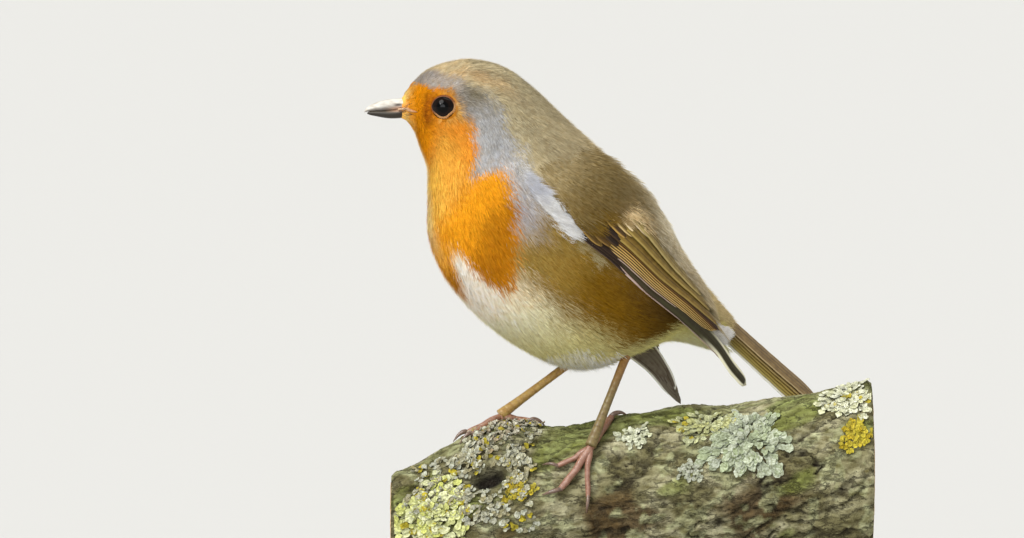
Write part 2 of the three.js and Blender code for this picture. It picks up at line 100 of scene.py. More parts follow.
# Value noise from -1 to 1: a scrambled number at each whole-number corner, blended smoothly between them.
def noise(p, seed=0):
    cell = np.floor(p).astype(np.int64)
    f = p - cell
    f = f * f * (3 - 2 * f)
    total = 0.0
    for corner in np.ndindex(2, 2, 2):
        c = cell + corner
        h = (c[..., 0] * 73856093) ^ (c[..., 1] * 19349663) ^ (c[..., 2] * 83492791) ^ (seed * 97561)
        h = (h ^ (h >> 13)) * 1274126177
        value = ((h ^ (h >> 16)) & 65535) / 32767.5 - 1
        total = total + value * np.prod(where(corner, f, 1 - f), axis=-1)
    return total


# Layers of noise, each twice as fine and half as strong as the last.
def roughness(p, layers, seed=0):
    return sum(noise(p * 2**k + 7.3 * k, seed + k) * 0.5**k for k in range(layers))


# A colour written as six hex digits, as the numbers that Blender's shaders work in.
def colour(digits):
    c = array([int(digits[i : i + 2], 16) / 255 for i in (0, 2, 4)])
    return where(c > 0.04045, ((c + 0.055) / 1.055) ** 2.4, c / 12.92)


def colours(digits):
    return [colour(each) for each in digits.split()]


def rgba(digits):
    return (*colour(digits), 1.0)


def mixed(a, b, share):
    return a + (b - a) * np.asarray(share)[..., None]


# A closed tube's last two points, in the middles of its ends, take the first and the last colour.
def capped(tint):
    tint = tint.reshape(-1, 3)
    return concatenate([tint, tint[:1], tint[-1:]])


# Puts whole arrays into a mesh: a shape is its points (n, 3) and a list of arrays of corner numbers, and each
# point has a place in named UV maps, a tint, a normal and the colour of its feather's rim.
def makePiece(name, shape, material, replaces=(), tint=None, uvs=None, normals=None, rim=None):
    points, faces = shape
    corners = concatenate([f.ravel() for f in faces]).astype(np.int32)
    sizes = concatenate([full(len(f), f.shape[1]) for f in faces]).astype(np.int32)
    mesh = bpy.data.meshes.new(name)
    mesh.vertices.add(len(points))
    mesh.vertices.foreach_set("co", np.asarray(points * mm, np.float32).ravel())
    mesh.loops.add(len(corners))
    mesh.loops.foreach_set("vertex_index", corners)
    mesh.polygons.add(len(sizes))
    mesh.polygons.foreach_set("loop_start", (np.cumsum(sizes) - sizes).astype(np.int32))
    mesh.polygons.foreach_set("use_smooth", np.ones(len(sizes), bool))
    mesh.update(calc_edges=True)
    for label, places in (uvs or {}).items():
        mesh.uv_layers.new(name=label).data.foreach_set("uv", places[corners].astype(np.float32).ravel())
    for label, tones in (("tint", tint), ("rim", rim)):
        if tones is not None:
            layer = mesh.color_attributes.new(label, "FLOAT_COLOR", "POINT")
            opaque = concatenate([tones, np.ones((len(tones), 1))], 1)
            layer.data.foreach_set("color", opaque.astype(np.float32).ravel())
    if normals is not None:
        mesh.normals_split_custom_set_from_vertices(normals.astype(np.float32))
    mesh.materials.append(material)
    piece = bpy.data.objects.new(name, mesh)
    bpy.context.scene.collection.objects.link(piece)
    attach(piece, "root")
    if replaces:
        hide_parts(*replaces)


# Corner numbers of the four-sided faces of a grid of points that is closed round its columns.
def gridFaces(rows, columns):
    i = arange(rows - 1)[:, None]
    j = arange(columns)[None, :]
    k = (j + 1) % columns
    ends = [i * columns + j, (i + 1) * columns + j, (i + 1) * columns + k, i * columns + k]
    return stack(ends, -1).reshape(-1, 4)


# A closed tube from a grid of rings: the grid's faces, and a fan to the middle of each end ring.
def closedRings(rings):
    rows, columns = rings.shape[:2]
    points = concatenate([rings.reshape(-1, 3), rings[0].mean(0)[None], rings[-1].mean(0)[None]])
    j = arange(columns)
    k = (j + 1) % columns
    last = (rows - 1) * columns
    start = stack([j, k, full(columns, rows * columns)], -1)
    end = stack([last + k, last + j, full(columns, rows * columns + 1)], -1)
    return points, [gridFaces(rows, columns), concatenate([start, end])]


# Several closed tubes as one shape.
def joined(shapes):
    offsets = np.cumsum([0] + [len(points) for points, _ in shapes[:-1]])
    faces = [f + offset for (_, sets), offset in zip(shapes, offsets) for f in sets]
    return concatenate([points for points, _ in shapes]), faces


# A round limb: rings of a radius along a smooth curve, squared to the curve by a fixed sideways direction.
def limbRings(route, radii, rings, around, sideways=(0.0, 0.0, 1.0)):
    share = linspace(0, 1, rings)
    centre = spline(route, share * (len(route) - 1))
    radius = spline(array(radii, float)[:, None], share * (len(radii) - 1))
    along = unit(np.gradient(centre, axis=0))
    across = unit(cross(along, broadcast_to(sideways, along.shape)))
    over = cross(along, across)
    angle = circle(around)
    ring = across[:, None] * cos(angle)[:, None] + over[:, None] * sin(angle)[:, None]
    return centre, radius, ring, angle


def limb(*form):
    centre, radius, ring, _ = limbRings(*form)
    return closedRings(centre[:, None] + ring * radius[:, :, None])


def isSocket(value):
    return isinstance(value, bpy.types.NodeSocket)


# Adds a node and fills its inputs, by name or number, with values or with other nodes' outputs.
def addNode(tree, kind, inputs=None, **settings):
    node = tree.nodes.new("ShaderNode" + kind)
    for key, value in settings.items():
        setattr(node, key, value)
    for key, value in (inputs or {}).items():
        if isSocket(value):
            tree.links.new(value, node.inputs[key])
        else:
            node.inputs[key].default_value = value
    return node


# The next four add their node to the tree that their inputs belong to.
def treeOf(values):
    return next(value.id_data for value in values if isSocket(value))


def calculate(operation, *values):
    return addNode(treeOf(values), "Math", dict(enumerate(values)), operation=operation).outputs[0]


def blend(share, a, b, mode="MIX"):
    node = addNode(treeOf((share, a, b)), "Mix", {0: share, 6: a, 7: b}, data_type="RGBA", blend_type=mode)
    return node.outputs[2]


def ramp(value, low, high, start, end, kind="LINEAR"):
    inputs = dict(enumerate((value, low, high, start, end)))
    return addNode(value.id_data, "MapRange", inputs, interpolation_type=kind).outputs[0]


def link(socket, shader, name="Base Color"):
    socket.id_data.links.new(socket, shader.inputs[name])


# A node group with named number or vector inputs and number outputs.
def newGroup(name, inputs, outputs):
    tree = bpy.data.node_groups.new(name, "ShaderNodeTree")
    for label, value in inputs.items():
        kind = "NodeSocketVector" if isinstance(value, tuple) else "NodeSocketFloat"
        tree.interface.new_socket(label, in_out="INPUT", socket_type=kind).default_value = value
    for label in outputs:
        tree.interface.new_socket(label, in_out="OUTPUT", socket_type="NodeSocketFloat")
    return tree, tree.nodes.new("NodeGroupInput").outputs, tree.nodes.new("NodeGroupOutput").inputs


# Fine grain for any surface: a noise that is stretched along the object's axes, its contrast raised.
def makeGrainGroup():
    tree, given, result = newGroup("grain", {"Scale": 1.0, "Stretch": (1, 1, 1), "Contrast": 1.0}, ["Mask"])
    place = addNode(tree, "TexCoord").outputs["Object"]
    stretched = addNode(tree, "VectorMath", {0: place, 1: given["Stretch"]}, operation="MULTIPLY").outputs[0]
    texture = addNode(tree, "TexNoise", {"Vector": stretched, "Scale": given["Scale"], "Detail": 4.0})
    strong = calculate("MULTIPLY_ADD", calculate("SUBTRACT", texture.outputs[0], 0.5), given["Contrast"], 0.5)
    tree.links.new(addNode(tree, "Clamp", {0: strong}).outputs[0], result["Mask"])
    return tree


# A vane's barbs: fine ridges that leave the shaft at a slant, worked out from the vane's own map, where U
# runs across it and V along it. Gives the ridges, the closeness to the shaft and that to either edge.
def makeBarbsGroup():
    inputs = {"Ridges": 60.0, "Slant": 0.8, "Shaft": 0.4, "Rim": 0.7}
    tree, given, result = newGroup("barbs", inputs, ["Ridge", "Shaft", "Edge"])
    place = addNode(tree, "UVMap", uv_map="vane").outputs[0]
    across, along = addNode(tree, "SeparateXYZ", {0: place}).outputs[:2]
    aside = calculate("ABSOLUTE", calculate("SUBTRACT", across, given["Shaft"]))
    slanted = calculate("MULTIPLY_ADD", aside, calculate("MULTIPLY", given["Slant"], -1.0), along)
    wave = calculate("SINE", calculate("MULTIPLY", slanted, given["Ridges"]))
    tree.links.new(calculate("MULTIPLY_ADD", wave, 0.5, 0.5), result["Ridge"])
    tree.links.new(ramp(aside, 0.0, 0.07, 1.0, 0.0), result["Shaft"])
    fromMiddle = calculate("ABSOLUTE", calculate("MULTIPLY_ADD", across, 2.0, -1.0))
    rimEnd = calculate("MULTIPLY_ADD", given["Rim"], 0.4, 0.6)
    edge = ramp(fromMiddle, given["Rim"], rimEnd, 0.0, 1.0, "SMOOTHSTEP")
    tip = ramp(along, 0.965, 0.99, 0.0, 1.0, "SMOOTHSTEP")
    tree.links.new(calculate("MAXIMUM", edge, tip), result["Edge"])
    return tree


grainGroup = makeGrainGroup()
barbsGroup = makeBarbsGroup()


# A material with its Principled shader, whose plain values are set on the shader's own sockets.
def newMaterial(name, values):
    material = bpy.data.materials.new(name)
    material.use_nodes = True
    shader = material.node_tree.nodes["Principled BSDF"]
    for key, value in values.items():
        shader.inputs[key].default_value = value
    return material, shader


def grain(shader, scale, contrast, stretch=(1, 1, 1)):
    values = {"Scale": scale, "Stretch": stretch, "Contrast": contrast}
    return addNode(shader.id_data, "Group", values, node_tree=grainGroup).outputs["Mask"]


def tintOf(shader, name="tint"):
    return addNode(shader.id_data, "Attribute", attribute_name=name).outputs["Color"]


# The mesh's own tint, and the same darkened by a shade where the mask is dark.
def shaded(shader, mask, shade):
    tint = tintOf(shader)
    deep = blend(1.0, tint, rgba(shade), "MULTIPLY")
    return tint, deep, blend(mask, deep, tint)


# Two colours, written one after the other, by a mask.
def twoTones(mask, digits):
    return blend(mask, *(rgba(each) for each in digits.split()))


def linkBump(shader, height, strength, distance):
    values = {"Height": height, "Strength": strength, "Distance": distance}
    link(addNode(shader.id_data, "Bump", values).outputs[0], shader, "Normal")


# Soft body feathers: the tint of the markings with a fine mottle, and a sheen at grazing angles.
def makePlumage(name, sheen, shade):
    values = {"Roughness": 0.9, "Sheen Weight": sheen, "Sheen Roughness": 0.5, "Specular IOR Level": 0.08}
    material, shader = newMaterial(name, values)
    tint, _, mottled = shaded(shader, grain(shader, 900.0, 1.6), shade)
    link(mottled, shader)
    link(tint, shader, "Sheen Tint")
    link(tint, shader, "Specular Tint")
    return material


# Stiff wing and tail feathers: tinted webs with a dark shaft line, slanted barbs and paler edges.
def makeVanes(name, edgeShare, rim):
    values = {"Roughness": 0.6, "Sheen Weight": 0.05, "Sheen Roughness": 0.4, "Specular IOR Level": 0.2}
    material, shader = newMaterial(name, values)
    values = {"Ridges": 420.0, "Slant": 0.22, "Shaft": 0.42, "Rim": rim}
    ridge, shaft, edge = addNode(shader.id_data, "Group", values, node_tree=barbsGroup).outputs
    _, deep, web = shaded(shader, grain(shader, 700.0, 1.4), "a89a88")
    web = blend(calculate("MULTIPLY", ridge, 0.1), web, deep)
    web = blend(calculate("MULTIPLY", shaft, 0.7), web, rgba("2a1c12"))
    link(blend(calculate("MULTIPLY", edge, edgeShare), web, tintOf(shader, "rim")), shader)
    linkBump(shader, calculate("MULTIPLY_ADD", shaft, 1.5, ridge), 0.3, 0.00005)
    return material


pose = {
    "yaw": radians(22),  # the body's turn towards -Y
    "headTurn": radians(17),  # how far the head turns back from it
    "neckX": -19.0,  # the upright axis that the head turns about
    "origin": array([-10.0, 0.0, 60.0]),  # the bird's frame in the part's frame
}


# A shape from the bird's frame, turned and set on the perch.
def toPart(shape):
    return turned(shape[0], pose["yaw"]) + pose["origin"], shape[1]


# Points that turn back with the head, by a share of its turn.
def withHead(p, share=1.0):
    return turned(p, -pose["headTurn"] * share, pose["neckX"])


# Sections from bill to tail: back (x, z), underside (x, z), half width, how far up the widest place is, how
# square the section is, and its share of the head's turn.
bodySections = [
    [-43, 80.5, -43, 75, 2.7, 0.5, 2, 1],  # bill base
    [-41, 84, -41, 71.5, 5.6, 0.5, 2, 1],  # forehead
    [-37.5, 87, -39.5, 67, 8.2, 0.56, 2.1, 1],  # lores
    [-32, 89, -38, 62.5, 9.6, 0.61, 2.15, 1],  # eyes
    [-26, 89.5, -38, 58, 10.5, 0.65, 2.15, 0.95],  # crown
    [-18.5, 87.5, -38, 53, 12, 0.62, 2.15, 0.8],  # nape
    [-11.5, 82.5, -38, 46.5, 14.6, 0.55, 2.2, 0.5],  # neck
    [-4, 75.5, -36, 39.5, 18.2, 0.49, 2.25, 0.2],  # shoulders
    [6, 67, -31, 31, 21, 0.46, 2.3, 0.05],  # mantle
    [16, 59, -22.5, 23, 22.6, 0.44, 2.3, 0],  # breast
    [22.5, 51, -10.5, 16, 21.8, 0.45, 2.2, 0],  # back
    [27, 42.5, 1.5, 13, 18.8, 0.48, 2.1, 0],  # belly
    [31.5, 36.5, 13.5, 16.2, 13.6, 0.5, 2, 0],  # flanks
    [36.5, 31, 24.5, 19.6, 9.4, 0.52, 2, 0],  # vent
    [42.5, 24.5, 37, 16.8, 5.8, 0.55, 2, 0],  # tail coverts
]
lastSection = len(bodySections) - 1


# Point of the body at section t and angle, 0 on the back, pi below, negative on the left: the section's line
# from underside to back, plus its half width, both with a power of cosine and sine that squares it a little.
def bodyPoint(t, angle):
    backX, backZ, underX, underZ, half, widest, square, turn = np.moveaxis(spline(bodySections, t), -1, 0)
    power = 2 / maximum(square, 1.9)
    c, s = cos(angle), sin(angle)
    lift = np.sign(c) * np.abs(c) ** power
    up = widest + lift * where(lift > 0, 1 - widest, widest)
    side = np.sign(s) * np.abs(s) ** power * maximum(half, 0.1)
    return withHead(stack([lerp(underX, backX, up), side, lerp(underZ, backZ, up)], -1), turn)


# A surface's point with its slopes along both of its measures, and its outward normal, their cross product.
def surfaceFrame(surface, sign, a, b, step=0.02):
    p = surface(a, b)
    slopeA = (surface(a + step, b) - p) / step
    slopeB = (surface(a, b + step) - p) / step
    return p, slopeA, slopeB, sign * unit(cross(slopeA, slopeB))


# How far round the body an angle is from the middle of the back, on either side.
def awayFromBack(angle):
    return np.abs((angle + pi) % (2 * pi) - pi)


# Sections of the folded wing from shoulder to tip: upper edge (x, distance from the middle, z), lower edge,
# and how far the middle bulges from the line between them.
wingSections = [
    [-5.5, 15.5, 65, -14.7, 19.6, 57, 1],
    [1.2, 17, 60, -11.4, 21.6, 51, 1.3],
    [8.1, 18, 53.5, -7, 23.2, 45.5, 1.5],
    [13.6, 17.5, 47, -0.4, 23.2, 40.5, 1.6],
    [20.1, 15, 39.5, 8.6, 21, 33, 1.6],
    [26.8, 12.5, 32.5, 18.7, 17.2, 26.5, 1.2],
    [31.5, 10.2, 26.5, 26.4, 13.2, 21.5, 0.9],
    [35.5, 9, 20.5, 32, 11.5, 17, 0.6],
    [39, 9, 15, 35.5, 11, 12, 0.4],
    [41.5, 9, 10, 40, 10, 9, 0.1],
]
wingPose = {
    "left": {"droop": 0.0, "spread": 0.0},
    "right": {"droop": radians(9), "spread": 3.0},
}
shoulder = (-9.0, 60.0)


# Point of a wing at shares along and up it: the line between its edges, bulged by a parabola, and turned
# down about the shoulder by the wing's droop.
def wingSurface(side):
    droop, spread = wingPose[side]["droop"], wingPose[side]["spread"]

    def place(along, up):
        row = spline(wingSections, along * (len(wingSections) - 1))
        ux, uy, uz, lx, ly, lz, bulge = np.moveaxis(row, -1, 0)
        dx = lerp(lx, ux, up) - shoulder[0]
        dz = lerp(lz, uz, up) - shoulder[1]
        y = lerp(ly, uy, up) + 4 * up * (1 - up) * bulge + spread * along * along
        x = shoulder[0] + dx * cos(droop) + dz * sin(droop)
        z = shoulder[1] + dz * cos(droop) - dx * sin(droop)
        return stack([x, sides[side] * y, z], -1)

    return place


# How far each place of the body is under a wing, from 0 outside it to 1, by the nearest of the wing's points.
def underWing(p, margin=0.05, batch=2000):
    cover = np.zeros(len(p))
    along, up = np.meshgrid(linspace(0, 1, 61), linspace(0, 1, 17), indexing="ij")
    inside = rise(-0.01, margin, minimum(minimum(along, 1 - along), minimum(up - 0.08, 1 - up) * 0.6))
    inside = (inside * rise(0.8, 0.68, along)).ravel()
    for side in sides:
        wing = wingSurface(side)(along, up).reshape(-1, 3)
        for start in range(0, len(p), batch):
            some = slice(start, start + batch)
            distance = ((p[some][:, None] - wing[None]) ** 2).sum(-1)
            under = inside[distance.argmin(1)] * rise(9, 6, sqrt(distance.min(1)))
            cover[some] = maximum(cover[some], under)
    return cover


plumage = {
    "brow": "a9a6a6",
    "crown": "cec09c",
    "nape": "b7ac8c",
    "mantle": "d0c19c",
    "rump": "c4b284",
    "back dark": "6a5a34",
    "back edge": "dcd4c0",
    "grey": "c2c6d0",
    "forehead": "f0a00a",
    "cheek": "e0922a",
    "throat": "ffcc58",
    "bib": "f0a81c",
    "breast low": "b87806",
    "lores": "96500a",
    "at the bill": "ffdc80",
    "middle line": "ffefb8",
    "smudge": "6c6552",
    "eyebrow": "b08a4c",
    "streak": "c09a68",
    "shoulder shade": "8e8a94",
    "wing shade": "4a3414",
    "flank top": "9a8240",
    "flank": "846006",
    "flank end": "64490a",
    "belly": "fffdee",
    "belly low": "e0da9c",
    "vent": "f2ea98",
    "under tail": "fff6bc",
    "behind the eye": "dcae5c",
}
# Edges of the markings. bib: the orange's upper edge as an angle over the sections. bib end: its lower end as
# a section over the angle. grey: the inner edge of the grey above it. belly: where the flank turns white.
edges = {
    "bib": (
        [0, 0.7, 1.2, 2, 3.2, 3.8, 4.3, 4.8, 5.2, 5.45, 5.62]
        + [5.85, 6.15, 6.4, 6.6, 6.9, 7.2, 7.5, 7.85, 8.15, 8.6],
        [0, 0.35, 0.65, 1.1, 1.32, 1.5, 1.64, 1.68, 1.74, 1.86, 1.98]
        + [1.8, 1.66, 1.58, 1.6, 1.67, 1.73, 1.85, 2.0, 2.22, 2.6],
    ),
    "bib end": (
        [1.4, 2.0, 2.3, 2.42, 2.47, 2.54, 2.6, 2.65, 2.72, 2.86, 2.97, 3.06, 3.2],
        [9, 8.7, 8.3, 8.05, 7.65, 7.35, 6.9, 6.6, 6.7, 7.1, 7.5, 7.9, 8.2],
    ),
    "grey": (
        [0, 1.0, 2.0, 2.6, 3.4, 4.0, 4.8, 5.4, 6.0, 6.5, 7.0, 7.5, 8.0, 8.6],
        [0, 0.05, 0.25, 0.7, 1.0, 1.1, 1.14, 1.24, 1.32, 1.38, 1.42, 1.5, 1.62, 1.75],
    ),
    "belly": (
        [7, 8, 9, 10, 11, 11.6, 12, 12.6, 13.2, 14],
        [2.2, 2.22, 2.14, 2.12, 2.2, 2.12, 1.88, 1.62, 1.45, 1.4],
    ),
}


# A colour of the plumage by its name, any other by its digits, or one that is already worked out.
def tone(given):
    return colour(plumage.get(given, given)) if isinstance(given, str) else given


# Lays colours over a first one in turn, each by its own share.
def layered(first, *layers):
    tint = tone(first)
    for over, share in layers:
        tint = mixed(tint, tone(over), share)
    return tint


# The colour of the plumage at section t and angle: the back's brown, then the flank, the belly, the grey band
# and the orange laid over it in turn, each with an edge that a little noise makes ragged.
def markings(t, angle, p):
    away = awayFromBack(angle)
    ragged = 0.05 * noise(p * 0.45, 1) + 0.035 * noise(p * 1.3, 2)
    edge = interp(t, *edges["bib"])
    flank = layered(
        "flank top",
        ("flank", rise(8.0, 9.6, t + 4 * ragged)),
        ("flank end", rise(10.2, 11.4, t) * rise(2.3, 1.7, away)),
    )
    belly = layered(
        # painted light: the belly's and the under tail's colours are raised by a fifth, past white, to
        # brighten the shaded underside
        tone("belly") * 1.2,
        ("belly low", rise(7.6, 10.2, t)),
        ("vent", rise(11, 13, t)),
        (tone("under tail") * 1.2, rise(12.2, 13.4, t) * rise(1.9, 2.3, away)),
    )
    soft = lerp(0.3, 0.2, rise(10.5, 11.5, t))
    onBelly = rise(-soft, soft, away + 1.6 * ragged - interp(t, *edges["belly"])) * rise(5, 6.5, t)
    inner = away + 2.2 * ragged - interp(t, *edges["grey"])
    grey = rise(-0.1, 0.16, inner) * rise(8.3, 7.3, t + 0.5 * rise(1.6, 1.9, away)) * rise(2.5, 2.2, away)
    greys = layered(
        "brow",
        ("grey", rise(3.8, 5.2, t)),
        ("smudge", 0.95 * bell(t, 4.3, 0.6) * bell(away, 1.3, 0.26)),  # behind the eye
        ("smudge", 0.3 * bell(t, 5.3, 0.7)),
    )
    soft = 0.05 + 0.05 * bell(t, 3.6, 0.9)
    orange = rise(-soft, soft, away + ragged - edge)
    orange = orange * rise(-0.2, 0.2, interp(away, *edges["bib end"]) + 5 * ragged - t)
    # painted light: towards the underside the throat turns paler and yellower, as light shines through its
    # feathers
    pale = 0.55 * rise(1.75, 2.15, away) + 0.45 * rise(2.2, 2.7, away)
    # the orange turns to buff along its edge over and behind the eye
    buff = rise(0.2, 0.02, away - edge + ragged) * rise(2.5, 3.1, t) * rise(4.9, 4.3, t)
    bib = layered(
        "forehead",
        ("cheek", rise(2.2, 3.2, t)),
        ("throat", rise(2.4, 3.8, t) * pale * (1 - 0.4 * rise(5.2, 6.2, t))),
        ("bib", rise(5.2, 6.2, t) * lerp(1, 0.6, rise(2.6, 3.0, away))),
        ("breast low", rise(6.7, 7.7, t + 0.5 * rise(2.6, 2.0, away))),
        ("lores", 0.9 * minimum(1.25 * bell(t, 2.1, 0.6) * bell(away, 1.66, 0.42), 1)),
        # painted rim light: paler over and under the bill, along the face's outline
        ("at the bill", 0.75 * rise(1.4, 0.5, t) * rise(0.5, 0.9, np.abs(cos(away)))),
        ("eyebrow", 0.75 * buff),
        # painted rim light: paler along the middle of the chin and throat, the front outline, fading over the
        # breast
        ("middle line", 0.65 * rise(2.78, 3.05, away) * rise(7.2, 5.5, t)),
    )
    tint = layered(
        "crown",
        ("nape", rise(3, 6, t)),
        ("mantle", rise(5.5, 8, t)),
        # painted shade and light: the back is darker over the shoulders and paler along its upper outline, as
        # light falls from above and behind
        ("back dark", 0.7 * bell(t, 8.6, 1.3) * bell(away, 1.0, 0.35)),
        ("back edge", 0.6 * bell(t, 9.1, 0.9) * bell(away, 0.55, 0.25)),
        ("rump", rise(9.5, 12, t)),
        (flank, rise(1.2, 1.5, away + ragged) * rise(6.8, 7.8, t)),
        (belly, onBelly),
        (greys, 0.92 * grey),
        ("shoulder shade", 0.6 * bell(t, 7.2, 0.5) * bell(away, 1.67, 0.14)),
        ("streak", 0.6 * bell(t, 4.3, 1.1) * bell(away + 1.5 * ragged, 0.85, 0.16)),
        (bib, orange),
        # painted shadow: the flank darkens along the wing's lower edge, where the wing shades it
        ("wing shade", 0.7 * (bell(t, 10.8, 1.2) * bell(away, 1.5, 0.16))),
    )
    streaks = noise(stack([t * 1.6, angle * 13, 0 * t], -1), 7) * (1 - orange)
    streaks = streaks * (0.08 + 0.08 * rise(1.5, 1.1, away))
    return tint * (1 + 0.09 * noise(p * 0.22, 5) + 0.07 * noise(p * 0.9, 6) + streaks)[..., None]


eye = {
    "place": (-34.0, 7.75, 77.6),
    "radius": 3.3,
    "long": 2.62,
    "high": 2.42,
    "lid": 0.6,
    "folds": 31,
    "lidTones": ("8a4c0e", "e6b478", "24140a"),  # in front, behind and along the inner edge
    "lidShade": "a89078",
    "iris": "0d0705 1b0e07",
    "pupil": "020202",
}


# The middle of an eye and the directions out of it, up it and forward along the head.
def eyeFrame(side):
    x, y, z = eye["place"]
    middle = withHead(array([x, side * y, z]))
    out = unit(withHead(array([x - 0.26, side * (y + 1.0), z + 0.04])) - middle)
    up = unit(array([0.0, 0.0, 1.0]) - out * out[2])
    return middle, out, up, cross(up, out) * -side


eyeFrames = {side: eyeFrame(sign) for side, sign in sides.items()}


# The eye's opening: an oval, drawn out a little in both corners and narrower below. Turn is 0 above and
# pi / 2 behind.
def eyeOpening(turn):
    oval = 1 / sqrt((sin(turn) / eye["long"]) ** 2 + (cos(turn) / eye["high"]) ** 2)
    corners = 0.05 * bell(turn, 1.45, 0.3) + 0.12 * bell(turn, 4.75, 0.25)
    return oval + corners - 0.26 * bell(turn, 2.35, 0.4) - 0.26 * bell(turn, 3.95, 0.4)


# How far each point is outside the nearer eye's opening, the direction away from the eye, and the turn there.
def awayFromEye(p):
    far = 99.0
    best = full(len(p), far)
    direction = np.zeros((len(p), 3))
    turns = np.zeros(len(p))
    for middle, out, up, forward in eyeFrames.values():
        offset = p - middle
        across = offset - (offset @ out)[:, None] * out
        turn = np.arctan2(across @ forward, across @ up) % (2 * pi)
        distance = np.linalg.norm(across, axis=1) - eyeOpening(turn) + far * (offset @ out < 0)
        nearer = distance < best
        best = where(nearer, distance, best)
        direction = where(nearer[:, None], unit(across), direction)
        turns = where(nearer, turn, turns)
    return best, direction, turns


skin = {"underWing": 3.4, "rings": 200, "around": 144}
# How the coat changes over the body's sections: feather length, width and spacing in millimetres, how deep
# the skin and the coat's own surface lie under the body's outline, how far the tips stand off, and how loose
# their barbs are.
coatRows = {
    "section": [0, 1.2, 2.5, 4, 5.5, 7, 9, 11, 12.5, 14],
    "length": [1.1, 1.7, 2.3, 3.4, 4.8, 6.2, 7.6, 8.0, 6.2, 3.4],
    "width": [0.7, 1.0, 1.3, 1.9, 2.7, 3.6, 4.4, 4.6, 4.0, 2.8],
    "spacing": [0.34, 0.44, 0.54, 0.68, 0.84, 0.98, 1.1, 1.12, 1.1, 1.0],
    "skin": [0.5, 0.65, 0.85, 1.1, 1.4, 1.7, 2.0, 2.0, 1.8, 1.4],
    "sink": [0.0, 0.1, 0.25, 0.4, 0.5, 0.6, 0.75, 0.7, 0.6, 0.4],
    "lift": [0.05, 0.1, 0.15, 0.2, 0.25, 0.3, 0.35, 0.35, 0.3, 0.2],
    "loose": [0.06, 0.12, 0.2, 0.3, 0.4, 0.55, 0.7, 0.8, 0.7, 0.5],
}


# One of the rows at section t.
def coatSize(name, t):
    return interp(t, coatRows["section"], coatRows[name])


# How deep the coat's surface lies under the body's outline: the row's depth, more under the lower breast and
# on the back between the wings.
def coatSink(t, angle):
    away = awayFromBack(angle)
    lowBreast = 1.1 * bell(t, 8.0, 1.5) * rise(2.2, 2.8, away)
    back = 1.3 * bell(t, 9.2, 1.1) * rise(1.3, 0.7, away)
    return coatSize("sink", t) + lowBreast + back


# The skin lies inside the plumage by the coat's depth, deeper where a wing lies on it, and is drawn in to a
# point at both ends.
def makeSkin():
    t, angle = linspace(0, lastSection, skin["rings"])[:, None], circle(skin["around"], -pi)[None, :]
    t, angle = np.broadcast_arrays(t, angle)
    p, _, _, n = surfaceFrame(bodyPoint, 1, t, angle)
    flat = p.reshape(-1, 3)
    cover = underWing(flat).reshape(t.shape)
    distance = awayFromEye(flat)[0].reshape(t.shape)
    own = coatSize("skin", t) + coatSink(t, angle) - coatSize("sink", t)
    own = own * (1 - 0.75 * bell(distance, 0.75, 0.8))
    depth = lerp(own, maximum(own, skin["underWing"]), cover) + 0.9 * rise(0.3, -0.4, distance)
    fold = 0.12 * noise(p * array([0.5, 0.5, 1.4]), 11)
    ends = minimum(rise(0, 0.25, t), rise(0, 0.3, lastSection - t))
    inner = p - n * (depth + fold)[..., None]
    shape = closedRings(lerp(p.mean(1, keepdims=True), inner, (0.25 + 0.75 * ends)[..., None]))
    # painted shade: the skin is about half as bright as the markings, as in the coat's shadow, and nearly as
    # bright as them near the eyes
    tint = markings(t.ravel(), angle.ravel(), flat) * (0.5 + 0.45 * rise(2.2, 1.0, distance.ravel()))[:, None]
    place = stack([0.01 + 0.98 * (angle / (2 * pi) + 0.5), 0.01 + 0.98 * t / lastSection], -1).reshape(-1, 2)
    place = concatenate([place, [[0.5, 0.005], [0.5, 0.995]]])
    material = makePlumage("skin under the plumage", 0.2, "b0a090")
    replaced = ["head", "neck", "trunk", "rump"]
    makePiece("skin", toPart(shape), material, replaced, capped(tint), {"OFBake": place})


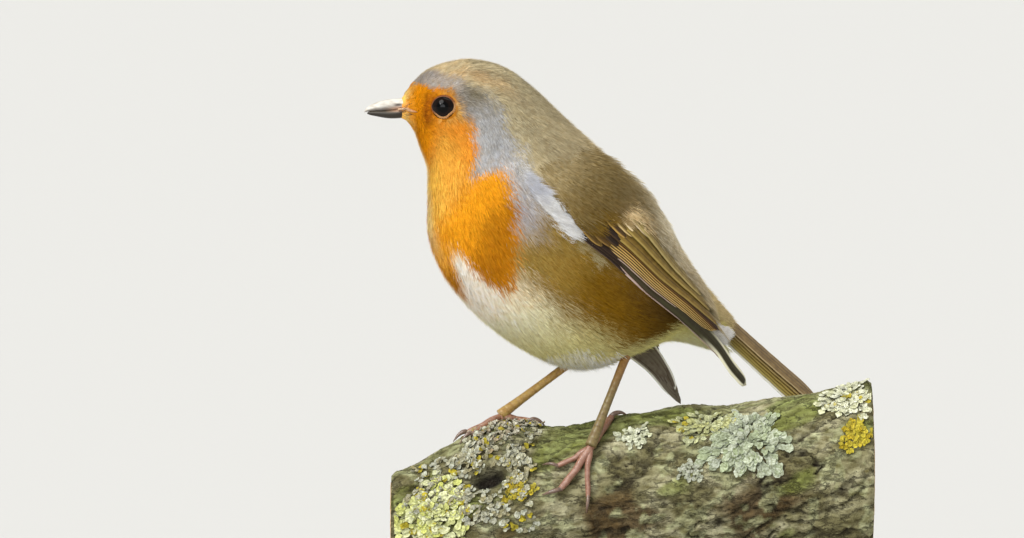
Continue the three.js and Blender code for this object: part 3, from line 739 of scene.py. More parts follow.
# An eyeball is a sphere whose clear front is pushed out a little over the pupil. A lid is a low ring of skin,
# highest near the opening, that slopes down under the feathers, with fine folds across it.
def makeEyes():
    eyeGloss, shader = newMaterial("eye", {"Roughness": 0.04, "Specular IOR Level": 0.22, "IOR": 1.38})
    iris = twoTones(grain(shader, 2500.0, 1.5), eye["iris"])
    link(blend(tintOf(shader), rgba(eye["pupil"]), iris), shader)
    values = {"Roughness": 0.6, "Subsurface Weight": 0.1, "Subsurface Radius": (0.002, 0.001, 0.0005)}
    lidSkin, shader = newMaterial("eyelid", values)
    folds = grain(shader, 2600.0, 2.0)
    link(shaded(shader, folds, eye["lidShade"])[2], shader)
    linkBump(shader, folds, 0.5, 0.0001)
    for side, sign in sides.items():
        middle, out, up, forward = eyeFrames[side]
        polar, turn = linspace(0.001, pi - 0.001, 48)[:, None], circle(64)[None, :]
        radius = eye["radius"] * (1 + 0.035 * bell(polar, 0, 0.6)) + 0 * turn
        radial = up * cos(turn)[..., None] + forward * sin(turn)[..., None] * sign
        ball = middle + radius[..., None] * (out * cos(polar)[..., None] + radial * sin(polar)[..., None])
        share = rise(0.42, 0.5, broadcast_to(polar, radius.shape)).ravel()
        tint = repeat(append(share, [0, 1])[:, None], 3, 1)
        makePiece(f"eyeball_{side}", toPart(closedRings(ball)), eyeGloss, [f"eye_{side}"], tint)
        turn, around = circle(120)[:, None], circle(24)[None, :]
        folded = sin(eye["folds"] * turn)
        outwards = 0.5 - 0.5 * cos(around)
        opening = eyeOpening(turn)
        ring = opening - 0.06 + eye["lid"] * (1 + 0.05 * folded) * outwards
        height = sqrt(maximum(eye["radius"] ** 2 - opening**2, 0.5)) + 0.05 - 0.95 * outwards**2
        height = height + 0.1 * bell(outwards, 0.22, 0.16) * (sin(around) > 0) + 0.03 * folded * outwards
        radial = up * cos(turn)[..., None] + forward * sin(turn)[..., None]
        lid = middle + ring[..., None] * radial + (height + 0.08 * sin(around))[..., None] * out
        behind = rise(0.35, 0.85, 0.5 - 0.5 * cos(turn + 0.5))
        front, pale, dark = eye["lidTones"]
        inner = rise(0.4, 0.1, outwards) * (1 - 0.75 * behind)
        tint = layered(front, (pale, behind + 0 * outwards), (dark, inner)).reshape(-1, 3)
        closed = gridFaces(turn.size + 1, around.size) % (turn.size * around.size)
        shape = toPart((lid.reshape(-1, 3), [closed[:, ::sign]]))
        makePiece(f"eyelids_{side}", shape, lidSkin, (), tint)


# Evenly scattered places: the golden-ratio sequence, bent so that it falls where the weight function asks.
def scatter(weightAt, rangeA, rangeB, rng, cells=240, steps=(0.7548776662, 0.5698402910)):
    a = linspace(*rangeA, cells)
    b = linspace(*rangeB, cells)
    weight = weightAt(*np.meshgrid(a, b, indexing="ij"))
    count = int(weight.sum() * ((a[1] - a[0]) * (b[1] - b[0])))
    i = arange(count)
    rows = np.cumsum(weight.sum(1))
    placeA = interp((0.5 + i * steps[0]) % 1, rows / rows[-1], a)
    row = clip(np.searchsorted(a, placeA), 0, cells - 1)
    columns = np.cumsum(weight, 1)
    columns = columns / columns[:, -1:] + arange(cells)[:, None]
    column = np.searchsorted(columns.ravel(), row + (0.5 + i * steps[1]) % 1) - row * cells
    return placeA, b[clip(column, 0, cells - 1)] + (rng.random(count) - 0.5) * (b[1] - b[0])


# How many feathers a unit of both measures needs: the surface that it covers over their spacing's square.
def density(surface, sign, a, b, spacing, step=0.02):
    _, slopeA, slopeB, _ = surfaceFrame(surface, sign, a, b, step)
    return np.linalg.norm(cross(slopeA, slopeB), axis=-1) / spacing**2


def shareOf(v, span):
    return (v - span[0]) / (span[1] - span[0])


# Tufts of barbs on a surface. Each feather is a fan of thin ribbons that lie along the surface from its root:
# the middle ribbon is the longest, the outer ones spread out quickly and then run side by side, and each
# narrows to a point. The height over the surface rises from the skin at the root to the tip.
def tufts(surface, sign, a, b, spans, lie, size, tint, fringe, rng, strips=11, rings=4, patch=0.003):
    count = len(a)
    keys = ("length", "width", "lift", "loose", "depth", "base")
    length, width, lift, loose, depth, base = (broadcast_to(size[k], count)[:, None, None] for k in keys)
    strand, feather = (count, strips, 1), (count, 1, 1)
    _, slopeA, slopeB, n = surfaceFrame(surface, sign, a, b)
    lie = unit(lie - (lie * n).sum(-1, keepdims=True) * n)
    aside = cross(n, lie)
    aa, ab, bb = (slopeA**2).sum(-1), (slopeA * slopeB).sum(-1), (slopeB**2).sum(-1)
    determinant = maximum(aa * bb - ab * ab, 1e-6)

    # steps of both measures that move a point by one millimetre in a direction
    def stepsFor(direction):
        da, db = (slopeA * direction).sum(-1), (slopeB * direction).sum(-1)
        steps = ((bb * da - ab * db) / determinant, (aa * db - ab * da) / determinant)
        return [step[:, None, None] for step in steps]

    lieSteps, asideSteps = stepsFor(lie), stepsFor(aside)
    s = linspace(0, 1, rings)[None, None, :] ** 0.9
    w = linspace(-1, 1, strips)[None, :, None]
    uneven = 1 + 0.13 * rng.standard_normal(strand)
    stretch = (1 - 0.3 * w**2) * uneven * (1 + 0.1 * rng.standard_normal(feather))
    reach = length * stretch * s
    spread = 0.35 + 0.65 * sin(minimum(s / 0.65, 1) * pi / 2)
    wander = 0.16 * rng.standard_normal(strand) * s**2 + 0.12 * rng.standard_normal(feather) * s**2
    across = 0.5 * width * (w * spread + wander)
    placeA = a[:, None, None] + reach * lieSteps[0] + across * asideSteps[0]
    placeB = b[:, None, None] + reach * lieSteps[1] + across * asideSteps[1]
    p, _, _, normal = surfaceFrame(surface, sign, placeA, placeB)
    height = base - depth * (1 - s) ** 1.4 + lift * (s**2 - 0.5 * w**2) * (0.6 + 0.8 * rng.random(feather))
    height = height + loose * np.abs(rng.standard_normal(strand)) * 0.5 * s**3 - 0.1
    centre = p + normal * height[..., None]
    aside = aside[:, None, None]
    sideways = unit(aside - (aside * normal).sum(-1, keepdims=True) * normal)
    thickness = array([1.0, 1.05, 0.9, 0.75])[: rings - 1] * (1 - 0.35 * (s[..., : rings - 1] > 0.6))
    half = (0.62 * width / strips * thickness)[..., None]
    edge = [centre[:, :, :-1] + way * sideways[:, :, :-1] * half for way in (-1, 1)]
    body = stack(edge, 3).reshape(count, strips, 2 * (rings - 1), 3)
    points = concatenate([body, centre[:, :, -1:]], 2)

    # a ribbon's two edges share a ring's value, and its tip has its own
    def perPoint(v):
        return concatenate([repeat(v[:, :, :-1], 2, 2), v[:, :, -1:]], 2)

    # the normals are the surface's own, leaning outwards at the feather's sides and a little at random
    lean = (0.28 * w + 0.16 * rng.standard_normal(strand))[..., None]
    soft = perPoint(unit(normal + aside * lean))
    along = perPoint(s) + 0 * rng.standard_normal(strand)
    uneven = 1 + 0.09 * rng.standard_normal(strand)
    # painted shade: each ribbon darkens towards its root, where the feathers over it shade it
    shade = (0.72 + 0.32 * along) * uneven * (1 + 0.06 * rng.standard_normal(feather))
    tints = mixed(tint[:, None, None], fringe[:, None, None], 0.6 * along**4) * shade[..., None]
    # the bake's map: a small patch at the root's place
    perStrip = 2 * rings - 1
    acrossPatch = broadcast_to(w, (count, strips, perStrip)) * 0.5 * (1 - 1 / strips)
    edge = append(tile([-1.0, 1.0], rings - 1), 0.0)[None, None, :] * 0.5 / strips
    placeU, placeV = (shareOf(v, span)[:, None, None] * 0.99 + 0.005 for v, span in zip((b, a), spans[::-1]))
    place = stack([placeU + patch * (acrossPatch + edge), placeV + patch * (along - 0.5)], -1)
    first = arange(count * strips)[:, None] * perStrip
    quads = concatenate([first + 2 * k + array([0, 2, 3, 1]) for k in range(rings - 2)])
    tips = first + array([perStrip - 3, perStrip - 1, perStrip - 2])
    shape = points.reshape(-1, 3), [quads, tips]
    return shape, clip(tints, 0, 1).reshape(-1, 3), place.reshape(-1, 2), soft.reshape(-1, 3)


# A piece made of tufts, whose normals turn with it.
def makeTufts(name, material, slot, *form):
    shape, tint, place, normals = tufts(*form)
    normals = turned(normals, pose["yaw"])
    makePiece(name, toPart(shape), material, (), tint, {"OFBake": place}, normals)
    print(f"{name}: {sum(len(f) * (f.shape[1] - 2) for f in shape[1])} triangles")


# Pieces of the coat: the sections and angles that each covers, its ribbons to a feather, and its slot.
coatPieces = table(
    "sections angles strips slot",
    {
        "coat_face": ((-0.3, 3.4), (-pi, pi), 7, "feather_orange"),
        "coat_crown": ((3.4, 5.6), (-1.7, 1.7), 9, "feather_olive"),
        "coat_throat": ((3.4, 5.6), (1.7, 2 * pi - 1.7), 9, "feather_orange"),
        "coat_breast": ((5.6, 8.4), (1.5, 2 * pi - 1.5), 13, "feather_orange"),
        "coat_mantle": ((5.6, 9.6), (-1.5, 1.5), 13, "feather_olive"),
        "coat_belly": ((8.4, 10.7), (1.5, 2 * pi - 1.5), 13, "feather_flank"),
        "coat_vent": ((10.7, 14.0), (1.5, 2 * pi - 1.5), 13, "feather_flank"),
        "coat_rump": ((9.6, 13.9), (-1.5, 1.5), 13, "feather_olive"),
    },
)


# One piece of the coat: feathers scattered over its range of the body, that lie back along the body and turn
# away from the eye.
def makeCoat(name, spec, material, seed):
    rng = np.random.default_rng(seed)
    spans = spec["sections"], spec["angles"]

    def weightAt(t, angle):
        return density(bodyPoint, 1, t, angle, coatSize("spacing", t))

    t, angle = scatter(weightAt, *spans, rng)
    p = bodyPoint(t, angle)
    tailRoot = (t >= 13.5) & (awayFromBack(angle) < 2.5)
    keep = (underWing(p) < 0.5) & ~tailRoot & (awayFromEye(p)[0] > 0.3)
    t, angle = t[keep], angle[keep]
    p, slope, _, _ = surfaceFrame(bodyPoint, 1, t, angle)
    eyeDistance, eyeAway, eyeTurn = awayFromEye(p)
    nearEye = exp(-maximum(eyeDistance - 0.35, 0) / 1.1)[:, None]
    lie = unit(slope) * (1 - 0.75 * nearEye) + eyeAway * 0.9 * nearEye
    lie = unit(lie + 0.12 * rng.standard_normal(lie.shape))
    nearEye = nearEye[:, 0]
    size = {k: coatSize(k, t) * (1 - 0.45 * nearEye) for k in ("length", "width", "lift", "loose")}
    size["base"] = 0.18 * nearEye - coatSink(t, angle)
    size["depth"] = (coatSize("skin", t) - coatSize("sink", t)) * (1 - 0.85 * nearEye)
    # a feather is mostly seen beyond its root, so its colour is that of a place further along
    seen = 0.6 * size["length"] / np.linalg.norm(slope, axis=-1)
    tint = markings(t + seen, angle, p + lie * size["length"][:, None] * 0.6)
    tint = tint * (1 + 0.05 * rng.standard_normal((len(t), 1)))
    ring = rise(1.5, 0.5, eyeDistance) * rise(0.4, 0.9, 0.5 - 0.5 * cos(eyeTurn + 0.6))
    tint = layered(tint, ("behind the eye", 0.65 * ring))
    form = (bodyPoint, 1, t, angle, spans, lie, size, tint, tint * 1.12 + 0.02, rng, spec["strips"])
    makeTufts(name, material, spec["slot"], *form)


def makePlumagePieces():
    materials = {
        "feather_orange": makePlumage("orange plumage", 0.06, "f0dcc0"),
        "feather_olive": makePlumage("olive plumage", 0.1, "dcd2c0"),
        "feather_flank": makePlumage("flank and belly plumage", 0.08, "e0d6c0"),
    }
    for seed, (name, spec) in enumerate(coatPieces.items()):
        makeCoat(name, spec, materials[spec["slot"]], seed + 20)


# Loose feathers that stand out of the coat: where their roots are on the body (sections, angles on one side),
# their number, size, height over the coat, how far they sink towards the belly, turn from the lie towards the
# back, stray, which way along the body they lie, and colours.
standouts = table(
    "sections angles count length width base loose lift depth turn stray low along tones",
    {
        "side_streak": (
            *((5.9, 8.2), (1.45, 1.55), 520, 3.9, 1.0, (-0.5, 1.5), 1.1, 0.3, 0.8),
            *(0.36, 0.2, 1.7, 1, ("c2c4d0", "ffffff")),
        ),
        "flank_fringe": (
            *((7.5, 8.9), (1.44, 1.54), 130, 4.4, 0.8, (-0.2, 0.2), 1.3, 0.3, 0.8),
            *(-0.06, 0.16, 0.5, 1, ("94804a", "cabd92")),
        ),
        "tail_patch": (
            *((13.25, 13.7), (1.6, 2.15), 150, 2.4, 1.6, (0.6, 1.3), 0.4, 0.3, 0.8),
            *(0.0, 0.25, 0.0, 1, ("eee8e4", "fffcfa")),
        ),
        "bill_feathers": (
            *((0.1, 1.1), (0.0, 3.12), 400, 1.3, 0.42, (0.4, 0.1), 0.15, 0.05, 0.25),
            *(0.0, 0.3, 0.0, -1, ("f0a02a", "ffda84")),
        ),
        "thigh_down": (
            *((9.9, 11.0), (2.3, 3.1), 90, 6.5, 3.4, (0.1, 0.1), 1.2, 0.3, 0.8),
            *(-0.5, 0.08, 0.0, 1, ("e8e6d4", "ffffff")),
        ),
    },
)


# Each kind of loose feather on either side: roots spread evenly over its range, that rise out of the coat
# along the body.
def makeStandouts():
    material = makePlumage("loose pale plumage", 0.1, "e8e4dc")
    for seed, (name, spec) in enumerate(standouts.items()):
        for side, sign in sides.items():
            rng = np.random.default_rng(seed + 400)
            sections, angles, count = spec["sections"], spec["angles"], spec["count"]
            t = rng.uniform(*sections, count)
            angle = sign * rng.uniform(*angles, count)
            _, slopeA, slopeB, _ = surfaceFrame(bodyPoint, 1, t, angle)
            lie = unit(slopeA) * spec["along"] - spec["turn"] * sign * unit(slopeB)
            lie = lie + spec["stray"] * rng.standard_normal(slopeA.shape)
            reach = shareOf(t, sections)
            sunk = spec["low"] * rise(0.4, 1.0, shareOf(np.abs(angle), angles))
            size = {**spec, "base": lerp(*spec["base"], rise(0.1, 0.7, reach)) - coatSink(t, angle) - sunk}
            share = 0.45 * rng.random(count) + 0.55 * rise(0.2, 0.75, reach)
            if name == "side_streak":  # white at its top and in its lower half, grey between
                share = 0.3 * rng.random(count) + 0.5 * bell(t, 6.35, 0.3) + 0.7 * rise(7.0, 7.5, t)
            if name == "bill_feathers":  # pale over and under the bill; none reaches past the first section
                # painted rim light: these feathers are paler over and under the bill, along the outline
                upright = np.abs(cos(angle))
                share = rise(0.25, 0.8, upright + 0.15 * rng.standard_normal(count))
                share = share * (1 - 0.85 * rise(0.3, 0.95, t))
                size["base"] = size["base"] * rise(0.1, 0.7, upright)
                size["length"] = minimum(spec["length"], (t - 0.02) * np.linalg.norm(slopeA, axis=-1) / 1.3)
            tint = lerp(*(colour(digits) for digits in spec["tones"]), share[:, None])
            spans = sections, (sign * angles[0], sign * angles[1])
            form = (bodyPoint, 1, t, angle, spans, unit(lie), size, tint, tint * 1.05, rng, 13, 5)
            makeTufts(f"{name}_{side}", material, "feather_flank", *form)


bill = {
    "base": -43.3,
    "shade": "b8aca0",
    "gapeTone": "f0c8a8",
    "nostrilTone": "4a3c34",
    # over shares of the length: height of the ridge, height of the cutting edge, half width
    "upper": [
        [79.7, 77, 2.1],
        [79.55, 76.85, 1.85],
        [79.35, 76.7, 1.55],
        [78.95, 76.6, 1.22],
        [78.2, 76.5, 0.85],
        [77.15, 76.3, 0.45],
    ],
    "lower": [
        [74.9, 77.15, 1.8],
        [74.75, 77.0, 1.6],
        [74.75, 76.85, 1.3],
        [75.0, 76.72, 0.98],
        [75.35, 76.6, 0.64],
        [75.7, 76.42, 0.32],
    ],
    # The two halves are one horn: the upper is painted paler towards its ridge, a painted highlight from
    # above, and the lower darker towards its underside, painted shade. Pale is the colour at the cutting
    # edge, dark the one at the ridge or underside.
    "halves": table(
        "tip nostril pale dark gape",
        {
            "upper": ((-53.0, 76.2), 1.0, "8c8a88", "dedcd2", (0.42, 0.12)),
            "lower": ((-52.3, 76.0), 0.0, "4c4434", "2c261a", (0.4, 0.1)),
        },
    ),
    "collar": {
        "section": 0.3,
        "height": -0.1,
        "ring": (-43.9, 74.8, 79.6, 1.95),
        "tones": ("e0a050", "f4c468"),
    },
    "fold": {
        "sections": (0.0, 0.35, 0.75, 1.15),
        "angles": (1.8, 1.79, 1.79, 1.78),
        "height": (-0.1, 0.2, 0.12, -0.3),
        "start": (-44.9, 1.62, 76.95),
        "radius": [0.2, 0.36, 0.38, 0.3, 0.08],
        "tones": ("e0bc98", "b87c38"),
    },
}


# Half of the bill: rings from a little inside the face to the tip. A ring is a circle squeezed between the
# cutting edge and the ridge, and the last ones shrink by a circle's arc to the tip.
def mandible(rows, tip, nostril):
    along, angle = linspace(-0.22, 1, 46)[:, None], circle(40)[None, :]
    ridge, edge, half = np.moveaxis(spline(rows, along * (len(rows) - 1)), -1, 0)
    up = 0.5 - 0.5 * cos(angle)
    side = sin(angle) * half * (1.12 - 0.3 * up)
    dent = nostril * bell(along - 0.3 * up, 0.02, 0.1) * bell(up, 0.42, 0.1)
    side = side * (1 - 0.3 * dent)
    x = lerp(bill["base"], tip[0], along) + 0 * angle
    p = stack([x, side, lerp(edge, ridge, up)], -1)
    end = array([tip[0], 0.0, tip[1]])
    p = lerp(p, end, (1 - sqrt(1 - rise(0.86, 1.0, along) ** 2 * 0.998))[..., None])
    return withHead(p), dent, up + 0 * along, along + 0 * angle


def makeBillHorn(horn):
    for part, spec in bill["halves"].items():
        p, dent, up, along = mandible(bill[part], spec["tip"], spec["nostril"])
        gape = rise(0.55, 0.1, along) * rise(*spec["gape"], up)
        tint = layered(
            spec["pale"],
            # painted highlight and shade: the upper half pales towards its ridge, the lower one darkens
            # towards its underside
            (spec["dark"], rise(0.05, 0.6, up)),
            (bill["gapeTone"], 0.85 * gape),
            (bill["nostrilTone"], clip(1.1 * dent, 0, 1)),
        )
        shape = toPart(closedRings(p))
        makePiece(f"bill_{part}_horn", shape, horn, [f"bill_{part}"], capped(tint))


# The soft fold at each corner of the mouth: a tapered limb laid along the face.
def makeMouthFolds(horn, rings=18, around=12):
    fold = bill["fold"]
    shapes = []
    for side in sides.values():
        p, _, _, n = surfaceFrame(bodyPoint, 1, array(fold["sections"]), side * array(fold["angles"]))
        onBill = withHead(array([fold["start"]]) * [1, side, 1])
        route = concatenate([onBill, p + n * array(fold["height"])[:, None]])
        shapes.append(limb(route, fold["radius"], rings, around))
    share = tile(append(repeat(linspace(0, 1, rings), around), [0, 1]), 2)
    tint = layered(fold["tones"][0], (fold["tones"][1], share))
    makePiece("mouth_folds", toPart(joined(shapes)), horn, (), tint)


# The skin between the face and the bill: a cone from a ring on the bill to a section of the face.
def makeBillCollar(rings=12, around=64):
    collar = bill["collar"]
    angle = circle(around, -pi)
    onFace, _, _, n = surfaceFrame(bodyPoint, 1, full(around, collar["section"]), angle)
    x, low, high, half = collar["ring"]
    onBill = withHead(stack([x + 0 * angle, half * sin(angle), lerp(low, high, 0.5 + 0.5 * cos(angle))], -1))
    share = linspace(0, 1, rings)[:, None, None]
    shape = closedRings(lerp(onBill, onFace + n * collar["height"], share))
    upright = append(np.abs(tile(cos(angle), rings)), [0.5, 0.5])
    tint = layered(collar["tones"][0], (collar["tones"][1], rise(0.2, 0.7, upright)))
    material = makePlumage("skin at the bill", 0.1, "e8d0b0")
    makePiece("bill_collar", toPart(shape), material, (), tint)


def makeBill():
    values = {"Roughness": 0.5, "Coat Weight": 0.08, "Coat Roughness": 0.3}
    horn, shader = newMaterial("horn of the bill", values)
    streaks = grain(shader, 1400.0, 1.8, (0.35, 1, 1))
    link(shaded(shader, streaks, bill["shade"])[2], shader)
    linkBump(shader, streaks, 0.25, 0.00005)
    makeBillHorn(horn)
    makeMouthFolds(horn)
    makeBillCollar()


bristles = {"count": 14, "radius": [0.055, 0.045, 0.01], "length": (2.6, 4.2), "tones": "1a120c 3a2413"}


# Bristles round the gape: thin tapered limbs that curve forwards and down.
def makeBristles(rng):
    count = bristles["count"]
    shapes = []
    for side in sides.values():
        t = rng.uniform(0.15, 0.9, count)
        angle = side * rng.uniform(1.35, 2.0, count)
        root, slopeA, _, n = surfaceFrame(bodyPoint, 1, t, angle)
        stray = 0.12 * rng.standard_normal((count, 3))
        forward = unit(-unit(slopeA) + 0.7 * n + array([0.0, 0.0, -0.25]) + stray)[:, None]
        s = linspace(0, 1, 9)[None, :, None]
        length = rng.uniform(*bristles["length"], count)[:, None, None]
        droop = array([0.3, 0.0, -0.5]) * length * 0.35 * s**2
        routes = root[:, None] - 0.6 * n[:, None] + forward * length * s + droop
        shapes += [limb(route, bristles["radius"], 9, 5, (0.0, 1.0, 0.3)) for route in routes]
    material, shader = newMaterial("bristles", {"Roughness": 0.5})
    link(twoTones(grain(shader, 900.0, 1.0), bristles["tones"]), shader)
    makePiece("rictal_bristles", toPart(joined(shapes)), material)


# Groups of a wing's feathers. Roots and tips are (share along, share up) on the wing, from the lowest feather
# to the highest. From first to last, half is the half width, lift the height over the wing and bend how far
# the shaft bows. A vane's rims are its lower and its upper one, and begin at rimFrom along it.
wingGroups = {
    "primaries": {
        "roots": [[0.22, 0.05], [0.24, 0.3]],
        "tips": [[0.79, 0.18], [0.82, 0.26], [0.83, 0.36], [0.85, 0.44], [1.012, 0.6]],
        "half": (1.0, 2.0),
        "lift": (-0.2, -0.05),
        "point": 0.065,
        "bend": (0.0, -0.16),
        "tone": "46301c 3e3a22",
        "rims": "c4aca0/4e3a28 b49c90/4e3a28 46321e 3e3624 e8e2c4/dcd6b8",
        "rimFrom": (0.0, 0.0, 0.0, 0.0, 0.74),
    },
    "secondaries": {
        "roots": [[0.2, 0.13], [0.16, 0.46]],
        "tips": [[0.66, 0.39], [0.7, 0.56], [0.715, 0.72], [0.73, 0.88]],
        "half": (1.3, 1.5),
        "lift": (0.0, 0.4),
        "point": 0.4,
        "bend": (0.0, -0.12),
        "tone": "5a4422 5a4420 4c3616 3c2410",
        "rims": "b09a8c/4a381a c4a468/4e3a1c c8a662/4e3a1c c8a65c/4e3a1c c4a058/4e3a1c b8924c/46300f "
        "6a4a20/3c2410 40260e",
    },
    "tertials": {
        "roots": [[0.1, 0.5], [0.12, 0.86]],
        "tips": [[0.71, 0.95], [0.64, 0.96], [0.57, 0.94]],
        "half": (1.8, 2.1),
        "lift": (0.45, 0.8),
        "point": 0.4,
        "bend": (-0.2, -0.04),
        "tone": "8a7030 967e3c 9c8850",
        "rims": "a8904a b49c54 bca86a",
    },
    "primary_coverts": {
        "roots": [[0.16, 0.02], [0.16, 0.1]],
        "tips": [[0.4, 0.03], [0.38, 0.08], [0.36, 0.13]],
        "half": (0.5, 0.6),
        "lift": (-0.3, -0.1),
        "point": 0.3,
        "bend": (0.0, 0.0),
        "tone": "2c1e16 33241a",
        "rims": "8a6c54 4a3622 4a3622",
    },
    "greater_coverts": {
        "roots": [[0.1, 0.12], [0.14, 0.9]],
        "tips": [[0.27, 0.1], [0.3, 0.28], [0.29, 0.48], [0.31, 0.68], [0.36, 0.95]],
        "half": (1.0, 1.7),
        "lift": (0.3, 0.65),
        "point": 0.35,
        "bend": (0.0, 0.0),
        "tone": "6e5624 6a5022 2c1e14 2a1c12 5a4424 8a7038 a48a50 a89058 9a8450",
        "rims": "9a7a3c 8a6a34 4a3620 4a3620 b8924a d8bc80 f0dcb0 f0dcb0 c4b084",
    },
}
# The right wing's primaries droop a little more and run together in one narrower point. They are paler and
# greyer than the left wing's: partly their paler undersides, partly painted light that lifts them out of the
# body's shadow.
farPrimaries = {
    "roots": wingGroups["primaries"]["roots"],
    "tips": [[0.98, 1.05], [0.975, 1.03], [0.96, 1.0], [0.93, 0.98], [0.9, 0.95]],
    "half": (1.2, 1.4),
    "lift": (-0.2, -0.6),
    "point": 0.17,
    "bend": (-0.62, 0.0),
    "tone": "948a7c 7e7464",
    "rims": "fffcf0/7e7464 7e7464 7e7464 7e7464 7e7464/fffcf0",
    "rimFrom": (0.6, 0.0, 0.0, 0.0, 0.6),
}
vaneForm = {"thick": 0.16, "rings": 34, "around": 22, "camber": 0.1, "tilt": 0.16, "shaft": -0.16}
vaneAlong = linspace(0, 1, vaneForm["rings"]) ** 0.85
vaneAngle = circle(vaneForm["around"])


# A vane: rings along its shaft, each a flat loop whose halves are the two faces. The half width grows quickly
# from the quill, keeps, and rounds off at the tip by a circle's arc; the edge ripples where barbs part.
def vane(centre, across, out, half, tilt, seed, point):
    s = vaneAlong[:, None]
    tip = clip((s - (1 - point)) / point, 0, 1)
    outline = rise(-0.12, 0.22, s) * sqrt(maximum(1 - tip**2, 0.0004))
    w, over = cos(vaneAngle)[None, :], sin(vaneAngle)[None, :]
    place = stack([s * 26 + 0 * w, np.sign(w) * 3 + 0 * s, full((s.size, w.size), seed * 3.7)], -1)
    aside = w * half * outline * (1 + 0.05 * noise(place, 4) * np.abs(w) ** 4)
    shaftRidge = 0.07 * bell(w, vaneForm["shaft"], 0.1) * (over > 0)
    height = over * 0.5 * vaneForm["thick"] * sqrt(outline)
    height = height + shaftRidge + half * (vaneForm["camber"] * (1 - w**2) * outline - tilt * w * outline)
    return centre[:, None] + across[:, None] * aside[..., None] + out[:, None] * height[..., None]


# The maps of a set of vanes: across and along each vane, and one cell of a square for each in the bake's map.
def vaneMaps(count):
    s, w = vaneAlong[:, None], cos(vaneAngle)[None, :]
    own = stack([0.5 + 0.5 * w + 0 * s, s + 0 * w], -1).reshape(-1, 2)
    own = concatenate([own, [[0.5, 0.0], [0.5, 1.0]]])
    cells = int(np.ceil(sqrt(count * 3)))
    deep = int(np.ceil(count / cells))
    bake = [(own * 0.94 + 0.03 + [i % cells, i // cells]) / [cells, deep] for i in range(count)]
    return {"vane": tile(own, (count, 1)), "OFBake": concatenate(bake)}


# A vane of a wing, whose shaft runs over the wing from root to tip and bows by a parabola.
def wingVane(side, root, tip, half, lift, point, bend, seed):
    s = vaneAlong
    along, up = lerp(root[0], tip[0], s), lerp(root[1], tip[1], s) + 4 * bend * s * (1 - s)
    p, _, _, out = surfaceFrame(wingSurface(side), -sides[side], along, up, 0.01)
    across = unit(cross(unit(np.gradient(p, axis=0)), out)) * -sides[side]
    across = where(across[:, 2:] < 0, -across, across)
    height = lift - 0.7 * rise(0.45, 0.0, s)
    return vane(p + out * height[:, None], across, out, half, vaneForm["tilt"], seed, point)


# One group of a wing's vanes as a shape, with its tint, its rims' colour and its maps.
def wingFeathers(side, spec, rng):
    pairs = [(colours(pair.replace("/", " ")) * 2)[:2] for pair in spec["rims"].split()]
    count = len(pairs)
    share = linspace(0, 1, count)
    roots = spline(spec["roots"], share)
    tips = spline(spec["tips"], share * (len(spec["tips"]) - 1))
    tones = colours(spec["tone"])
    tones = spline(tones, share * (len(tones) - 1))
    upperSide = append(tile(cos(vaneAngle) > 0, vaneForm["rings"]), [False, False]).astype(float)
    alongVane = append(repeat(vaneAlong, vaneForm["around"]), [0, 1])
    shapes, tints, rims = [], [], []
    for i, (lower, upper) in enumerate(pairs):
        half, lift, bend = (lerp(*spec[key], share[i]) for key in ("half", "lift", "bend"))
        shapes.append(closedRings(wingVane(side, roots[i], tips[i], half, lift, spec["point"], bend, i)))
        own = tones[i] * (1 + 0.06 * rng.standard_normal())
        tints.append(tile(own, (len(alongVane), 1)))
        begin = spec.get("rimFrom", (0.0,) * count)[i]
        rims.append(mixed(own, mixed(lower, upper, upperSide), rise(begin - 0.2, begin + 0.01, alongVane)))
    shape = joined(shapes)
    uneven = (1 + 0.08 * noise(shape[0] * 0.6, 8))[:, None]
    return shape, concatenate(tints) * uneven, concatenate(rims) * uneven, vaneMaps(count)


def makeWings():
    materials = {
        "primaries": makeVanes("primary feathers", 1.0, 0.45),
        "secondaries": makeVanes("secondary feathers", 1.0, 0.77),
        "tertials": makeVanes("tertial feathers", 0.6, 0.6),
        "primary_coverts": makeVanes("primary coverts", 0.4, 0.6),
        "greater_coverts": makeVanes("greater coverts", 0.8, 0.5),
    }
    softWing = makePlumage("small wing plumage", 0.08, "d2c4a8")
    solids = {"primaries": "primaries", "secondaries": "secondaries", "greater_coverts": "coverts"}
    rng = np.random.default_rng(91)
    for side in sides:
        for group, spec in wingGroups.items():
            if side == "right" and group == "primaries":
                spec = farPrimaries
            shape, tint, rim, maps = wingFeathers(side, spec, rng)
            replaced = [f"wing_{side}_{solids[group]}"] if group in solids else ()
            name = f"{group}_{side}"
            makePiece(name, toPart(shape), materials[group], replaced, tint, maps, None, rim)
        makeWingTufts(side, softWing, rng)
    print("wings made")


# Small feathers laid on a wing's surface: the range of their roots (shares along and up), how far before and
# after the scapulars' edge they grow, their spacing, size, height over the wing, how they turn from the
# wing's length, and their colours.
wingTufts = table(
    "along up band spacing length width base turn tones lift loose depth",
    {
        "lesser_coverts": (
            *((-0.06, 0.3), (-0.02, 1.0), (-0.2, -0.035), 0.9, 4.2, 2.6, 1.1, 0.05),
            *(("5c4c1c", "80662c"), 0.2, 0.3, 0.8),
        ),
        "scapulars": (
            *((-0.12, 0.82), (0.0, 1.35), (-0.9, -0.11), 0.95, 6.2, 3.6, 1.4, 0.12),
            *(("82714a", "6c5628"), 0.2, 0.3, 0.8),
        ),
    },
)
# how far along the wing these feathers reach, over shares up it
covertEdge = (
    [-0.02, 0.08, 0.16, 0.3, 0.5, 0.8, 0.95, 1.05, 1.15, 1.3],
    [0.25, 0.29, 0.23, 0.185, 0.215, 0.28, 0.4, 0.6, 0.74, 0.84],
)
